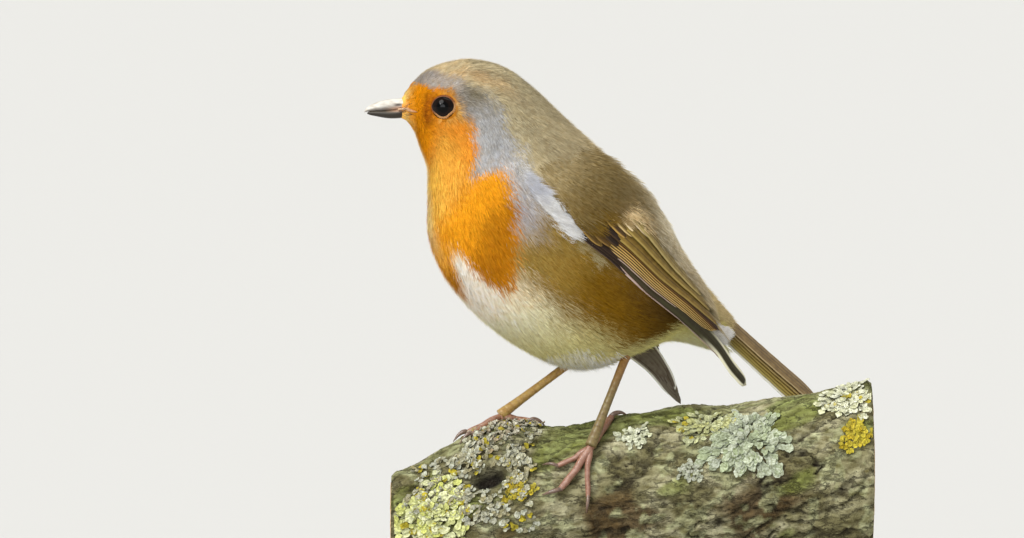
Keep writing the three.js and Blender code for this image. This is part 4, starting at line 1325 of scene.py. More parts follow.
# how far along it they grow, and how strong the pale upper edge and the pale band over the shoulder are: both
# painted rim light along the back's outline, stronger on the near, left wing
wingMarks = table("reach edge band", {"left": (0.82, 0.7, 0.65), "right": (0.6, 0.2, 0.4)})
wingTones = {
    "front": "a89872",
    "upper": "d2c6ac",
    "edge": "ece6d2",
    "band": "e8e0c8",
    "dark spot": "5e5034",
    "back": "c4b48c",
    "buff spot": "ffe6b8",
}


def makeWingTufts(side, material, rng):
    surface, sign, marks = wingSurface(side), -sides[side], wingMarks[side]
    for group, spec in wingTufts.items():

        def weightAt(along, up):
            return density(surface, sign, along, up, spec["spacing"], 0.01)

        along, up = scatter(weightAt, spec["along"], spec["up"], rng)
        beyond = along - interp(up, *covertEdge) + 0.02 * rng.standard_normal(len(up))
        keep = (beyond > spec["band"][0]) & (beyond < spec["band"][1]) & (along < marks["reach"])
        # their front edge leaves the wing's lower edge free near the shoulder
        keep &= up > 0.16 * rise(0.3, 0.2, along) * rise(-0.08, 0.03, along) - 0.02
        along, up, beyond = along[keep], up[keep], beyond[keep]
        p, slopeA, slopeB, _ = surfaceFrame(surface, sign, along, up, 0.01)
        lie = unit(unit(slopeA) + spec["turn"] * unit(slopeB) + 0.1 * rng.standard_normal(p.shape))
        tint = layered(
            spec["tones"][0],
            (spec["tones"][1], rise(-0.25, 0.0, beyond)),
            (wingTones["front"], rise(0.05, -0.08, along)),
            (wingTones["upper"], 0.8 * rise(0.84, 1.08, up) * rise(0.2, 0.32, along)),
            # painted rim light: the upper edge and a band over the shoulder are paler, where light grazes the
            # back's outline
            (wingTones["edge"], marks["edge"] * rise(1.2, 1.34, up) * rise(0.0, 0.12, along)),
            (wingTones["band"], marks["band"] * bell(along, 0.3, 0.11) * bell(up, 1.14, 0.16)),
            (wingTones["dark spot"], 0.45 * bell(along, 0.12, 0.06) * bell(up, 0.9, 0.16)),
            (wingTones["back"], 0.6 * rise(0.45, 0.7, along)),
            (wingTones["buff spot"], bell(along, 0.215, 0.045) * bell(up, 0.8, 0.14)),
        )
        tint = tint * (1 + 0.1 * noise(p * 0.35, 14) + 0.07 * rng.standard_normal(len(up)))[:, None]
        # they rise from the body at the wing's front, and lie down again at its upper and lower edges
        low = rise(-0.12, 0.06, along) * rise(1.35, 1.0, up)
        size = {**spec, "base": spec["base"] - 1.5 * (1 - low) - 0.7 * rise(0.12, 0.0, up)}
        spans = spec["along"], spec["up"]
        form = (surface, sign, along, up, spans, lie, size, tint, tint * 1.15 + 0.015, rng)
        makeTufts(f"{group}_{side}", material, "feather_wing", *form)


tail = {
    "base": (37.4, 27.0),
    "length": 35.5,
    "pitch": radians(-41),
    "roll": radians(35),  # the tail's upper face turns a little to the left
    "pairs": 6,
    "half": 2.75,
    "step": 0.28,
    "fan": radians(0.6),
    "bow": 0.8,
    "tones": "8a7246 86702e",
    "rims": "aa946a a48e58 a08a48 a08c48 b0a05c fbf8e8",
}
tailAlong = array([cos(tail["pitch"]), 0.0, sin(tail["pitch"])])
tailFlat = array([-sin(tail["pitch"]), 0.0, cos(tail["pitch"])])
tailUp = tailFlat * cos(tail["roll"]) - array([0.0, sin(tail["roll"]), 0.0])
tailSide = cross(tailUp, tailAlong)


# The tail's vanes, in pairs from the middle outwards, each a step beyond and below the last and leaning more.
def makeTail():
    material = makeVanes("tail feathers", 0.75, 0.72)
    shapes, tints, rims = [], [], []
    first, last = colours(tail["tones"])
    for pair, edge in enumerate(colours(tail["rims"])):
        for side in sides.values():
            lean = -side * 0.11 * pair
            across = tailSide * cos(lean) + tailUp * sin(lean)
            out = tailUp * cos(lean) - tailSide * sin(lean)
            reach = tail["length"] * (1 - 0.015 * abs(pair - 2)) * vaneAlong
            aside = 0.5 + tail["step"] * pair + sin(tail["fan"] * (pair + 0.5)) * reach
            high = tail["bow"] * vaneAlong**2 - tail["step"] * pair + 0.08 * side
            base = array([tail["base"][0], 0.0, tail["base"][1]])
            centre = base + tailAlong * reach[:, None] + tailUp * high[:, None]
            centre = centre + tailSide * side * aside[:, None]
            across, out = (tile(way, (len(vaneAlong), 1)) for way in (across, out))
            shapes.append(closedRings(vane(centre, across, out, tail["half"], 0.0, pair + 20 * side, 0.2)))
            count = len(shapes[-1][0])
            tints.append(tile(lerp(first, last, pair / (tail["pairs"] - 1)), (count, 1)))
            rims.append(tile(edge, (count, 1)))
    shape = joined(shapes)
    tint = concatenate(tints) * (1 + 0.08 * noise(shape[0] * 0.5, 9))[:, None]
    maps, rim = vaneMaps(2 * tail["pairs"]), concatenate(rims)
    makePiece("tail_feathers", toPart(shape), material, ["tail"], tint, maps, None, rim)
    print("tail made")


perch = {
    "sections": [[-55, 34.5, 14], [-30, 39, 16.5], [0, 42.8, 18.8], [30, 45.2, 19.8], [62, 48.8, 21.5]],
    # the sections are x, the middle's height and radius
    "start": -55.0,
    "end": 62.0,
    "rings": 330,
    "around": 260,
    "wide": 19,  # a middling radius, which turns angles into lengths
}
knob = {"x": -30.0, "angle": 0.26, "height": 4.2, "length": 12.0, "spread": 0.8}


# The branch's middle height and radius at x, its knob and its ripples, as one radius round its axis.
def perchRadius(x, angle):
    row = interp(x, [s[0] for s in perch["sections"]], arange(len(perch["sections"])))
    height, radius = np.moveaxis(spline([s[1:] for s in perch["sections"]], row), -1, 0)
    turn = np.arctan2(sin(angle - knob["angle"]), cos(angle - knob["angle"]))
    swelling = knob["height"] * exp(-(((x - knob["x"]) / knob["length"]) ** 2) - (turn / knob["spread"]) ** 2)
    ripples = 0.45 * sin(3 * angle + 0.13 * x) + 0.3 * sin(5 * angle - 0.31 * x + 1)
    return height, radius + swelling + ripples


# A point on the branch or lifted off it: the radius turned round the axis at x.
def perchPoint(x, angle, lift=0.0):
    x, angle = np.float64(x), np.float64(angle)
    height, radius = perchRadius(x, angle)
    r = radius + lift
    return stack([x + 0 * r, -r * sin(angle), height + r * cos(angle)], -1)


# Each foot: its ball's place on the bark (x, angle), its heel joint, the colours of leg and toes, and its
# toes, each with the places that it passes over, its claw's end and its radius.
# painted shade and light: the left, near leg's tone is darker and the right, far leg's paler, on legs of one
# colour
feet = {
    "left": {
        "ball": (-6.6, 0.9),
        "heel": (1.6, -6.5, 75.5),
        "tones": "84764a a47c68",
        "toes": table(
            "near far claw radius",
            {
                "inner": ((-10.5, 0.98), (-14.8, 1.04), (-18.2, 0.98), 0.62),
                "middle": ((-10.2, 1.14), (-14, 1.36), (-18.4, 1.4), 0.8),
                "outer": ((-7.4, 1.16), (-7.2, 1.5), (-7.6, 1.72), 0.62),
                "hind": ((-4, 0.62), (-1.4, 0.28), (2.4, 0.22), 0.85),
            },
        ),
    },
    "right": {
        "ball": (-28.5, -0.1),
        "heel": (-10.8, 7.5, 75.0),
        "tones": "bc9e58 ac846c",
        "toes": table(
            "near far claw radius",
            {
                "inner": ((-32.3, 0.14), (-35.6, 0.3), (-38.4, 0.36), 0.62),
                "middle": ((-32.7, -0.06), (-36.6, -0.02), (-40, 0.02), 0.8),
                "outer": ((-31.7, -0.36), (-34.4, -0.54), (-37, -0.66), 0.62),
                "hind": ((-24.6, -0.14), (-21, -0.1), (-17.4, -0.1), 0.85),
            },
        ),
    },
}
leg = {
    "ankle": 2.6,
    "tarsus": [1.3, 1.08, 1.0, 1.1, 1.4],
    "scute": 1.7,
    "scale": 0.95,
    "shade": "c4aa98",
    "heelTone": "b47a30",
    "clawTones": "4a3a30 8a7060",
}


# A scaly limb: rings whose radius steps up a little at each scale on the upper side, and swells in soft pads
# below. The tone is darker in the grooves between scales and below, painted shade.
def scalyLimb(route, radii, rings, sideways, scale, pads, front, tone):
    centre, radius, ring, angle = limbRings(route, radii, rings, 28, sideways)
    reach = append(0.0, np.cumsum(np.linalg.norm(np.diff(centre, axis=0), axis=1)))[:, None]
    phase = (reach / scale) % 1.0
    facing = rise(-0.2, 0.5, cos(angle - front))[None, :]
    groove = exp(-((minimum(phase, 1 - phase) / 0.09) ** 2))
    plate = 0.03 * sin(pi * phase) - 0.035 * groove
    below = rise(0.1, -0.6, cos(angle - front))[None, :]
    pad = pads * 0.16 * sin(pi * reach / reach[-1] * 3) ** 2 * below
    place = np.broadcast_arrays(reach * 3.2, cos(angle) * 4, sin(angle) * 4)
    rough = 0.02 * noise(stack(place, -1), 3)
    points = centre[:, None] + ring * (radius * (1 + facing * plate + pad + rough))[..., None]
    # painted shade: darker in the grooves between scales and on the underside
    dark = append(((groove * facing * 0.32) + 0.12 * (1 - facing)).ravel(), [0, 0])
    return closedRings(points), mixed(tile(tone, (len(dark), 1)), tone * 0.45, dark)


# Each leg: a scaly shank from above the heel to the ball of the foot, four scaly toes from there over the
# bark, and a curved claw on each.
def makeLegs():
    values = {"Roughness": 0.42, "Subsurface Weight": 0.12, "Coat Weight": 0.15}
    scales, shader = newMaterial("leg scales", {**values, "Subsurface Radius": (0.0016, 0.0008, 0.0004)})
    mottle = grain(shader, 1100.0, 1.8)
    link(shaded(shader, mottle, leg["shade"])[2], shader)
    linkBump(shader, mottle, 0.3, 0.00008)
    hornClaw, shader = newMaterial("claw horn", {"Roughness": 0.3, "Coat Weight": 0.3})
    link(twoTones(grain(shader, 1500.0, 1.4), leg["clawTones"]), shader)
    for side, foot in feet.items():
        ankle, heel = perchPoint(*foot["ball"], leg["ankle"]), array(foot["heel"])
        up = unit(heel - ankle)
        legTone, toeTone = colours(foot["tones"])
        shank = [heel + up * 1.5, heel, lerp(heel, ankle, 0.35), lerp(heel, ankle, 0.7), ankle]
        form = (shank, leg["tarsus"], 150, (0.0, 1.0, 0.0), leg["scute"], 0.0, pi / 2, legTone)
        shape, tint = scalyLimb(*form)
        high = rise(0.55, 1.0, ((shape[0] - ankle) @ up) / np.linalg.norm(heel - ankle))
        parts = [(shape, layered(tint, (leg["heelTone"], 0.5 * high)))]
        for toe in foot["toes"].values():
            r = toe["radius"]
            near, far = perchPoint(*toe["near"], r + 0.45), perchPoint(*toe["far"], r + 0.2)
            start = lerp(ankle, perchPoint(*foot["ball"], r), 0.3)
            sideAxis = cross(far - start, near - array([near[0], 0.0, perchRadius(near[0], 0.0)[0]]))
            route = [start, lerp(start, near, 0.55) + [0, 0, 0.15], near, lerp(near, far, 0.5), far]
            radii = [r * 1.15, r * 1.2, r, r * 1.02, r * 0.86]
            parts.append(scalyLimb(route, radii, 90, unit(sideAxis), leg["scale"], 1.0, -pi / 2, toeTone))
        shapes, tints = zip(*parts)
        replaced = [f"leg_{side}"]
        makePiece(f"leg_{side}_scales", joined(shapes), scales, replaced, concatenate(tints))
        for name, toe in foot["toes"].items():
            r = toe["radius"]
            root, tip = perchPoint(*toe["far"], r + 0.2), perchPoint(*toe["claw"], 0.35)
            outwards = unit(perchPoint(*toe["claw"], 1.0) - perchPoint(*toe["claw"]))
            start = root - unit(tip - root) * 0.5
            route = [start, lerp(start, tip, 0.3) + outwards * 0.75, lerp(start, tip, 0.65) + outwards * 0.8]
            radii = [0.62 * r, 0.72 * r, 0.5 * r, 0.08]
            shape = limb([*route, tip], radii, 40, 20, unit(cross(tip - root, outwards)))
            makePiece(f"claw_{side}_{name}_horn", shape, hornClaw, [f"claw_{side}_{name}"])
    print("legs made")


# Where crusts and leaf-like lichens grow: place on the branch (x, angle), how far they reach, their number
# of lobes, lobe length and width, how far the lobes stand up, how orderly they point outwards, their colours,
# and the share of lobes that is yellow.
lichens = table(
    "x angle reach lobes size stand order tones warm",
    {
        "knob_crust": (-33.0, 0.95, (15.0, 0.75), 620, (1.5, 1.3), 0.9, 0.15, "e0e2d4 b4aa84", 0.25),
        "knob_top": (-29.0, 0.1, (9.0, 0.45), 300, (1.3, 1.1), 1.0, 0.1, "e2e0d2 b49c78", 0.2),
        "left_crust": (-45.0, 1.35, (8.5, 0.5), 210, (2.6, 2.2), 0.6, 0.5, "f6f8cc e8ec86", 0.3),
        "big_rosette": (31.0, 0.98, (8.5, 0.4), 230, (3.0, 1.9), 0.55, 0.95, "a6b28c d2d8c6", 0.0),
        "upper_rosette": (21.0, 0.6, (7.0, 0.22), 140, (2.2, 1.5), 0.4, 0.8, "c8cca8 c8c886", 0.25),
        "small_pale": (4.0, 0.72, (3.8, 0.13), 70, (1.6, 1.1), 0.35, 0.6, "dde0c0 eceedc", 0.0),
        "low_pale": (17.5, 1.3, (2.6, 0.12), 45, (1.3, 1.0), 0.4, 0.4, "d2d4c8 c2c6b0", 0.0),
        "end_rosette": (55.5, 0.5, (5.6, 0.3), 150, (2.2, 1.5), 0.45, 0.8, "e6e6bc f2f2e0", 0.2),
        "end_yellow": (57.5, 1.08, (3.4, 0.16), 80, (1.5, 1.2), 0.5, 0.5, "d2b62a dccb4e", 0.9),
        "knob_yellow": (-24.5, 1.28, (3.4, 0.16), 80, (1.4, 1.1), 0.6, 0.4, "cdb02a d9cc58", 0.9),
        "far_rosette": (-8.0, -1.1, (9.0, 0.42), 240, (2.8, 1.8), 0.5, 0.9, "aab489 d0d5c2", 0.0),
        "far_yellow": (38.0, -1.5, (6.5, 0.3), 190, (1.9, 1.4), 0.5, 0.6, "c3c69c d2b93a", 0.6),
        "far_crust": (-42.0, -0.9, (8.0, 0.45), 220, (1.7, 1.4), 0.5, 0.4, "c5c8a6 b9bd80", 0.3),
    },
)
lichenShade, lichenYellow = "9a9a80", "c9b83c"
bark = {
    "hollow": (-31.0, 1.02),
    "hollowSize": (4.6, 0.15),
    "hollowDepth": 3.8,
    "calm": 2.6,
    "base": "847e58",
    "pale": "c0bb98",
    "brown": "5c4220",
    "grey green": "bcbf94",
    "green": "a2aa72",
    "moss": "84903a",
    # painted shade: the tones in the cracks and in the hollow below the knob
    "crack": "33291d",
    "dark": "1d140e",
    "shade": "847c58",
    "specks": "3a3a30",
    "fissure": "2c2418",
}


def barkPlace(x, angle):
    twisted = angle + 0.011 * x
    return stack([x, perch["wide"] * cos(twisted), perch["wide"] * sin(twisted)], -1)


# Noise over the bark, as fine along the branch and round it as the two scales say.
def barkNoise(q, along, around, layers, seed):
    return roughness(q * array([along, around, around]), layers, seed)


# Height of the bark over the branch's plain radius: slow swells, plates parted by long cracks where a
# stretched noise crosses zero, fine grain, and the hollow below the knob. It is calm under the toes.
def barkRelief(x, angle):
    q = barkPlace(x, angle)
    swell = 0.45 * barkNoise(q, 0.05, 0.09, 2, 31)
    seam = roughness(q * array([0.07, 0.2, 0.2]) + 0.35 * noise(q * 0.12, 33)[..., None], 3, 35)
    crack = exp(-((seam / 0.075) ** 2)) * rise(-0.5, 0.3, noise(q * 0.045, 36))
    finer = barkNoise(q, 0.28, 0.75, 3, 38)
    fineCrack = exp(-((finer / 0.13) ** 2))
    hx, ha = bark["hollow"]
    sx, sa = bark["hollowSize"]
    hollow = exp(-(((x - hx) / sx) ** 2 + ((angle - ha) / sa) ** 2) ** 1.5)
    rough = 0.3 * np.abs(finer) - 0.32 * fineCrack - 1.15 * crack + 0.10 * roughness(q * 1.3, 2, 41)
    calm = np.ones_like(x)
    for foot in feet.values():
        for toe in foot["toes"].values():
            for px, pa in (toe["near"], toe["far"], toe["claw"], foot["ball"]):
                away = ((x - px) / bark["calm"]) ** 2 + ((angle - pa) * perch["wide"] / bark["calm"]) ** 2
                calm = minimum(calm, 1 - 0.85 * exp(-away))
    return swell * calm + rough * calm - bark["hollowDepth"] * hollow, crack, fineCrack, hollow


# The bark's material: grain and pale specks, and thin wandering fissures where a stretched noise crosses its
# middle value, painted dark as shade in them.
def makeBarkMaterial():
    material, shader = newMaterial("bark", {"Roughness": 0.92, "Specular IOR Level": 0.2})
    tree = shader.id_data
    coarse = grain(shader, 650.0, 2.2, (0.45, 1, 1))
    specks = grain(shader, 2100.0, 3.0)
    grained = shaded(shader, coarse, bark["shade"])[2]
    paler = blend(1.0, grained, rgba(bark["specks"]), "ADD")
    speckled = blend(calculate("MULTIPLY", specks, 0.5), grained, paler)
    place = addNode(tree, "TexCoord").outputs["Object"]
    stretched = addNode(tree, "VectorMath", {0: place, 1: (0.42, 1.0, 1.0)}, operation="MULTIPLY").outputs[0]
    inputs = {"Vector": stretched, "Scale": 260.0, "Detail": 5.0, "Roughness": 0.62}
    wandering = addNode(tree, "TexNoise", inputs).outputs[0]
    offMiddle = calculate("ABSOLUTE", calculate("SUBTRACT", wandering, 0.5))
    fissure = ramp(offMiddle, 0.0, 0.035, 1.0, 0.0, "SMOOTHSTEP")
    # painted shade: the fissures are darkened
    dark = calculate("MULTIPLY", calculate("MULTIPLY", fissure, coarse), 0.75)
    link(blend(dark, speckled, rgba(bark["fissure"])), shader)
    height = calculate("MULTIPLY_ADD", fissure, -1.5, calculate("MULTIPLY_ADD", specks, 0.5, coarse))
    linkBump(shader, height, 0.8, 0.0004)
    return material


# The branch: rings of the relief, rounded off at both ends, in bark colours with brown and green patches.
def makePerch():
    start, end = perch["start"], perch["end"]
    x, angle = linspace(start, end, perch["rings"])[:, None], circle(perch["around"], -pi)[None, :]
    x, angle = np.broadcast_arrays(x, angle)
    relief, crack, fineCrack, hollow = barkRelief(x, angle)
    rounded = 1.2 * (1 - rise(0, 1.6, minimum(x - start, end - x)))
    shape = closedRings(perchPoint(x, angle, relief - rounded**2 * 0.6))
    q = barkPlace(x, angle)
    turn = np.abs(angle)
    mossy = barkNoise(q, 0.07, 0.12, 3, 54) + 0.55 * cos(angle)
    mossy = mossy + 0.4 * bell(x, -12, 10) * bell(angle, 0.2, 0.6)
    tint = layered(
        bark["base"],
        (bark["pale"], rise(-0.5, 0.7, roughness(q * 0.16, 3, 51))),
        (bark["brown"], 0.85 * rise(0.15, 0.6, barkNoise(q, 0.06, 0.1, 2, 52)) * rise(0.9, 1.7, turn)),
        (bark["grey green"], 0.7 * rise(0.15, 0.45, roughness(q * 0.3, 3, 53))),
        (bark["green"], 0.5 * rise(0.75, 0.2, turn) * rise(-0.5, 0.3, barkNoise(q, 0.12, 0.5, 3, 57))),
        (bark["moss"], 0.65 * rise(0.05, 0.55, mossy - 0.35)),
        # painted shade: the cracks and the hollow below the knob are painted dark, as shade in them
        (bark["crack"], clip(0.85 * crack + 0.35 * fineCrack, 0, 1)),
        (bark["dark"], clip(1.2 * hollow, 0, 1)),
    )
    makePiece("perch_bark", shape, makeBarkMaterial(), ["perch"], capped(tint))


# the sawn wood's growth rings: their colours, the height of their middle in metres and how close they lie
cutEnd = {"wood": "c9a876 94703f", "heart": "7c5630", "middle": 0.0425, "rings": 5200.0}


# The sawn ends: thin discs let into the branch's ends, with growth rings in the wood.
def makeCutEnds():
    material, shader = newMaterial("sawn wood", {"Roughness": 0.75, "Specular IOR Level": 0.3})
    tree = shader.id_data
    place = addNode(tree, "TexCoord").outputs["Object"]
    wobble = addNode(tree, "TexNoise", {"Vector": place, "Scale": 90.0, "Detail": 3.0}).outputs[0]
    split = addNode(tree, "SeparateXYZ", {0: place}).outputs
    lowered = calculate("SUBTRACT", split[2], cutEnd["middle"])
    squares = [calculate("POWER", v, 2.0) for v in (split[1], lowered)]
    radius = calculate("SQRT", calculate("ADD", *squares))
    wavy = calculate("MULTIPLY_ADD", wobble, 5.0, calculate("MULTIPLY", radius, cutEnd["rings"]))
    rings = calculate("MULTIPLY_ADD", calculate("SINE", wavy), 0.5, 0.5)
    wood = twoTones(calculate("MULTIPLY", rings, 0.75), cutEnd["wood"])
    heart = calculate("MULTIPLY", ramp(radius, 0.004, 0.012, 1.0, 0.0), 0.5)
    link(blend(heart, wood, rgba(cutEnd["heart"])), shader)
    linkBump(shader, rings, 0.3, 0.0002)
    angle = circle(180, -pi)
    shares = concatenate([[0.99, 1.0, 1.0, 0.985], linspace(0.96, 0.03, 26)])[:, None, None]
    offsets = concatenate([[-1.0, -0.9, 0.05, 0.15], full(26, 0.2)])[:, None]
    for label, x, outwards in (("left", perch["start"], -1), ("right", perch["end"], 1)):
        rim = perchPoint(x + 0 * angle, angle, barkRelief(x + 0 * angle, angle)[0] - 2.4)
        middle = array([x, 0.0, perchRadius(np.float64(x), 0.0)[0]])
        disc = middle + (rim - middle)[None] * shares
        disc[..., 0] += outwards * (offsets + 0.06 * noise(disc * 0.5, 61) * (offsets > 0.1))
        makePiece(f"cut_end_{label}", closedRings(disc[:, ::outwards]), material)


# Lichen lobes: thin closed flakes that point away from the middle of their patch, round at the tip, waved
# across and curled up towards the edge. All of a patch's lobes are worked out together.
def lichenShapes(spec, rng, rings=7, columns=10, golden=2.39996):
    count = spec["lobes"]
    share = sqrt((arange(count) + 0.5) / count)
    turn = arange(count) * golden + 0.3 * rng.standard_normal(count)
    ragged = 1 + 0.28 * sin(turn * 3 + spec["x"]) + 0.18 * sin(turn * 7 + 1)
    reachX, reachA = spec["reach"]
    x0 = spec["x"] + share * reachX * ragged * cos(turn)
    a0 = spec["angle"] + share * reachA * ragged * sin(turn)
    clear = barkRelief(x0, a0)[3] < 0.3  # none grow in the hollow
    x0, a0, turn, share, count = x0[clear], a0[clear], turn[clear], share[clear], int(clear.sum())
    heading = (turn + (1 - spec["order"]) * rng.uniform(-pi, pi, count))[:, None, None]
    length = spec["size"][0] * rng.uniform(0.6, 1.25, count) * (0.7 + 0.5 * share)
    width = spec["size"][1] * rng.uniform(0.6, 1.3, count)
    s, around = linspace(0, 1, rings)[None, :, None], circle(columns)[None, None, :]
    outline = sqrt(clip(1 - (2 * clip(s, 0.02, 0.985) - 1) ** 2, 0, 1)) * (0.6 + 0.5 * s)
    turn = turn[:, None, None]
    l = (s - 0.35) * length[:, None, None]
    w = 0.5 * cos(around) * outline * width[:, None, None] * (1 + 0.3 * sin(9 * s + turn))
    c, d = cos(heading), sin(heading)
    x = clip(x0[:, None, None] + c * l - d * w, perch["start"] + 0.8, perch["end"] - 0.4)
    angle = a0[:, None, None] + (d * l + c * w) / perch["wide"]
    coarse = barkRelief(x0, a0)[0][:, None, None]
    curl = spec["stand"] * (s**2 * 0.7 + 0.5 * cos(around) ** 2 * outline)
    curl = curl * rng.uniform(0.2, 1.2, count)[:, None, None]
    layer = (0.25 + 0.5 * spec["stand"] * rng.random(count) * (1.1 - share))[:, None, None]
    wave = 0.12 * sin(5 * cos(around) + 7 * s + turn)
    p = perchPoint(x, angle, coarse + layer + curl + wave + 0.09 * sin(around) * sqrt(outline))
    one = (count, 1)
    paint = lerp(*colours(spec["tones"]), rng.random(one)) * (1 + 0.12 * rng.standard_normal(one))
    patchy = noise(stack([x0, a0 * perch["wide"], 0 * x0], -1) * 0.25, 71)[:, None]
    yellow = rng.random(one) < spec["warm"] * (0.4 + 0.6 * patchy)
    paint = where(yellow, colour(lichenYellow) * (1 + 0.12 * rng.standard_normal(one)), paint)
    # painted shade: each lobe darkens towards its base, low in the patch; it is a little paler at its edges
    shade = 0.55 + 0.5 * broadcast_to(s, p.shape[:-1]) + 0.1 * np.abs(cos(around))
    tint = clip(paint[:, None, None] * shade[..., None], 0, 1)
    # every lobe is one closed tube of its own
    ends = p[:, 0].mean(1)[:, None], p[:, -1].mean(1)[:, None]
    points = concatenate([p.reshape(count, -1, 3), *ends], 1)
    tint = concatenate([tint.reshape(count, -1, 3), tint[:, 0, :1], tint[:, -1, :1]], 1)
    first = arange(count)[:, None, None] * (rings * columns + 2)
    faces = [(f[None] + first).reshape(-1, f.shape[1]) for f in closedRings(p[0])[1]]
    return (points.reshape(-1, 3), faces), tint.reshape(-1, 3)


def makeLichens():
    values = {"Roughness": 0.95, "Specular IOR Level": 0.15, "Sheen Weight": 0.15}
    material, shader = newMaterial("lichen", values)
    powder = grain(shader, 1900.0, 2.2)
    link(shaded(shader, powder, lichenShade)[2], shader)
    linkBump(shader, powder, 0.6, 0.0002)
    for seed, (name, spec) in enumerate(lichens.items()):
        shape, tint = lichenShapes(spec, np.random.default_rng(seed + 300))
        makePiece(f"lichen_{name}", shape, material, (), tint)
    print("perch made")


stand = {
    "corner": 14.0,
    "wood": "2e1c12 5f3f27",
    "pores": "1b100a",
    "brass": "b8904f d9b671",
    # the moulded edge, from below: how far it is drawn in, and its height
    "edge": [(1.6, 0.0), (0.5, 0.25), (0.0, 0.9), (0.0, 5.6), (0.15, 6.2), (0.9, 6.7), (1.5, 7.0), (1.6, 7.5)]
    + [(1.9, 8.2), (2.6, 8.8), (3.6, 9.0), (5.0, 9.0)],
    # a rod's collar: how far it stands out, and its height over the base
    "collar": [(0, -0.6), (1.7, -0.4), (1.9, 0), (1.9, 0.7), (1.6, 1.2), (0.9, 1.5), (0.25, 1.8), (0, 2.3)],
}


# The base: a rounded rectangle's outline, drawn in and raised by each step of its moulded edge.
def makeStandBase():
    low, high = (array(corner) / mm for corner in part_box("stand_base"))
    halfX, halfY = (high - low)[:2] / 2
    corner = stand["corner"]
    turn = concatenate([linspace(k * pi / 2, (k + 1) * pi / 2, 20) for k in range(4)])
    middles = repeat([(1, 1), (-1, 1), (-1, -1), (1, -1)], 20, 0) * [halfX - corner, halfY - corner]
    rings = []
    for inset, height in stand["edge"]:
        outline = middles + (corner - inset) * stack([cos(turn), sin(turn)], -1)
        rings.append(np.column_stack([outline, full(80, height / 9.0 * high[2])]))
    inwards = [rings[-1] * [share, share, 1] for share in (0.8, 0.5, 0.2, 0.02)]
    bottom = [rings[0] * [share, share, 1] for share in (0.02, 0.5, 0.95)]
    shape = closedRings(array(bottom + rings + inwards)[:, ::-1])
    values = {"Roughness": 0.45, "Specular IOR Level": 0.3, "Coat Weight": 0.08, "Coat Roughness": 0.3}
    material, shader = newMaterial("dark polished wood", values)
    bands = grain(shader, 160.0, 2.6, (0.12, 1, 1))
    pores = grain(shader, 1500.0, 3.0, (0.06, 1, 1))
    wood = twoTones(bands, stand["wood"])
    link(blend(calculate("MULTIPLY", pores, 0.45), wood, rgba(stand["pores"])), shader)
    linkBump(shader, pores, 0.12, 0.0001)
    makePiece("stand_base_wood", shape, material, ["stand_base"])


# The rods: a profile of radius over height turned about an upright axis, with a collar where it meets the
# base.
def makeStandRods():
    material, shader = newMaterial("brushed brass", {"Metallic": 1.0, "Roughness": 0.28})
    brushed = grain(shader, 900.0, 2.0, (1, 1, 0.05))
    link(twoTones(brushed, stand["brass"]), shader)
    link(calculate("MULTIPLY_ADD", brushed, 0.2, 0.2), shader, "Roughness")
    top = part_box("stand_base")[1].z / mm
    turn = circle(72)[None, :]
    for i in (1, 2):
        low, high = (array(corner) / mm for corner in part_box(f"stand_rod_{i}"))
        middle, radius = (low + high) / 2, (high[0] - low[0]) / 2
        collar = [(radius + out, top + up) for out, up in stand["collar"]]
        ends = [(radius, high[2] - 0.3), (radius * 0.9, high[2])]
        profile = [(radius * 0.9, low[2]), (radius, low[2] + 0.3), *collar, *ends]
        r, z = array(profile).T[..., None]
        rings = stack([middle[0] + r * cos(turn), middle[1] + r * sin(turn), z + 0 * turn], -1)
        shape = closedRings(rings[:, ::-1])
        makePiece(f"stand_rod_{i}_brass", shape, material, [f"stand_rod_{i}"])
    print("stand made")


makeSkin()
makeEyes()
makePlumagePieces()
makeStandouts()
makeBill()
makeBristles(np.random.default_rng(5))
makeWings()
makeTail()
makeLegs()
makePerch()
makeCutEnds()
makeLichens()
makeStandBase()
makeStandRods()
print("body made")


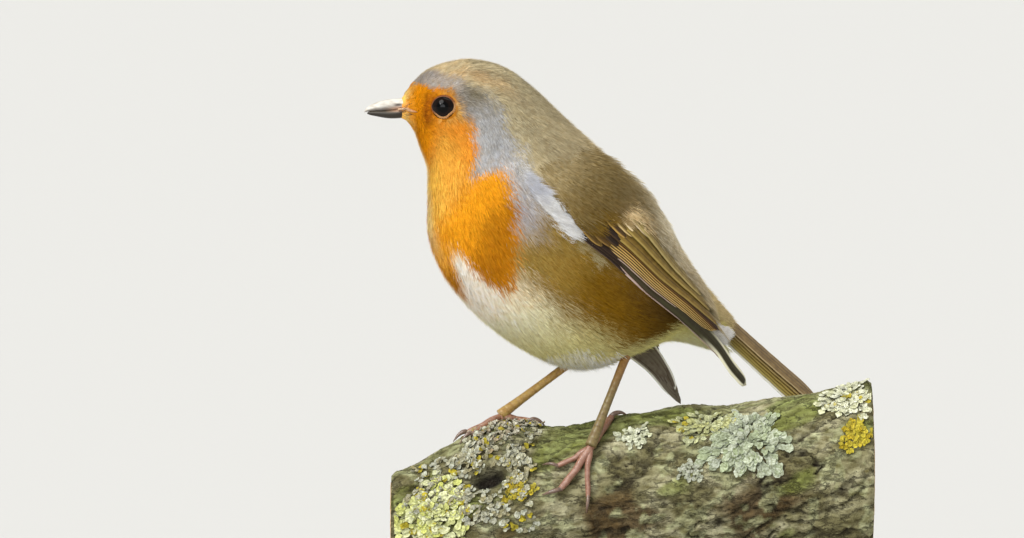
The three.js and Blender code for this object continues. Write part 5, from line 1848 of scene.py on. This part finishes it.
studio = {
    "floor": "c6c5c2",
    "world": 0.46,
    "suns": table(
        "from power spread tone",
        {
            "key": ((-0.6, -0.7, 1.0), 2.3, 38, (1.0, 0.985, 0.95)),
            "top": ((0.35, 0.25, 1.0), 1.4, 60, (1.0, 1.0, 0.97)),
            "fill": ((-0.28, -1.0, 0.08), 1.9, 45, (0.94, 0.97, 1.0)),
            "sparkle": ((-0.75, -0.8, 0.62), 0.4, 6, (1.0, 1.0, 1.0)),
        },
    ),
}


# A wide pale floor, a pale sky, and broad soft suns, so that the floor is equally bright all over.
def makeStudio(reach=150.0):
    values = {"Roughness": 0.9, "Specular IOR Level": 0.1, "Base Color": rgba(studio["floor"])}
    mesh = bpy.data.meshes.new("floor")
    corners = [(-reach, -reach, 0), (reach, -reach, 0), (reach, reach, 0), (-reach, reach, 0)]
    mesh.from_pydata(corners, [], [(0, 1, 2, 3)])
    mesh.materials.append(newMaterial("studio floor", values)[0])
    floor = bpy.data.objects.new("floor", mesh)
    bpy.context.scene.collection.objects.link(floor)
    world = bpy.data.worlds.new("studio")
    world.use_nodes = True
    background = world.node_tree.nodes["Background"]
    background.inputs[0].default_value = (0.95, 0.97, 1.0, 1.0)
    background.inputs[1].default_value = studio["world"]
    bpy.context.scene.world = world
    bpy.context.scene.view_settings.view_transform = "Standard"
    for name, spec in studio["suns"].items():
        light = bpy.data.lights.new(name, "SUN")
        light.energy = spec["power"]
        light.angle = radians(spec["spread"])
        light.color = spec["tone"]
        lamp = bpy.data.objects.new(name, light)
        bpy.context.scene.collection.objects.link(lamp)
        lamp.rotation_euler = Vector(spec["from"]).to_track_quat("Z", "Y").to_euler()


view = {"target": (-0.02561, 0.0, 0.09785), "distance": 2.0813, "elevation": radians(2), "lens": 300.0}


def makeCamera():
    data = bpy.data.cameras.new("camera")
    data.lens = view["lens"]
    data.sensor_width = 36.0
    data.clip_start = 0.1
    data.clip_end = 500.0
    camera = bpy.data.objects.new("camera", data)
    back = array([0.0, -cos(view["elevation"]), sin(view["elevation"])]) * view["distance"]
    camera.location = array(view["target"]) + back
    camera.rotation_euler = (pi / 2 - view["elevation"], 0.0, 0.0)
    bpy.context.scene.collection.objects.link(camera)
    bpy.context.scene.camera = camera


makeStudio()
makeCamera()
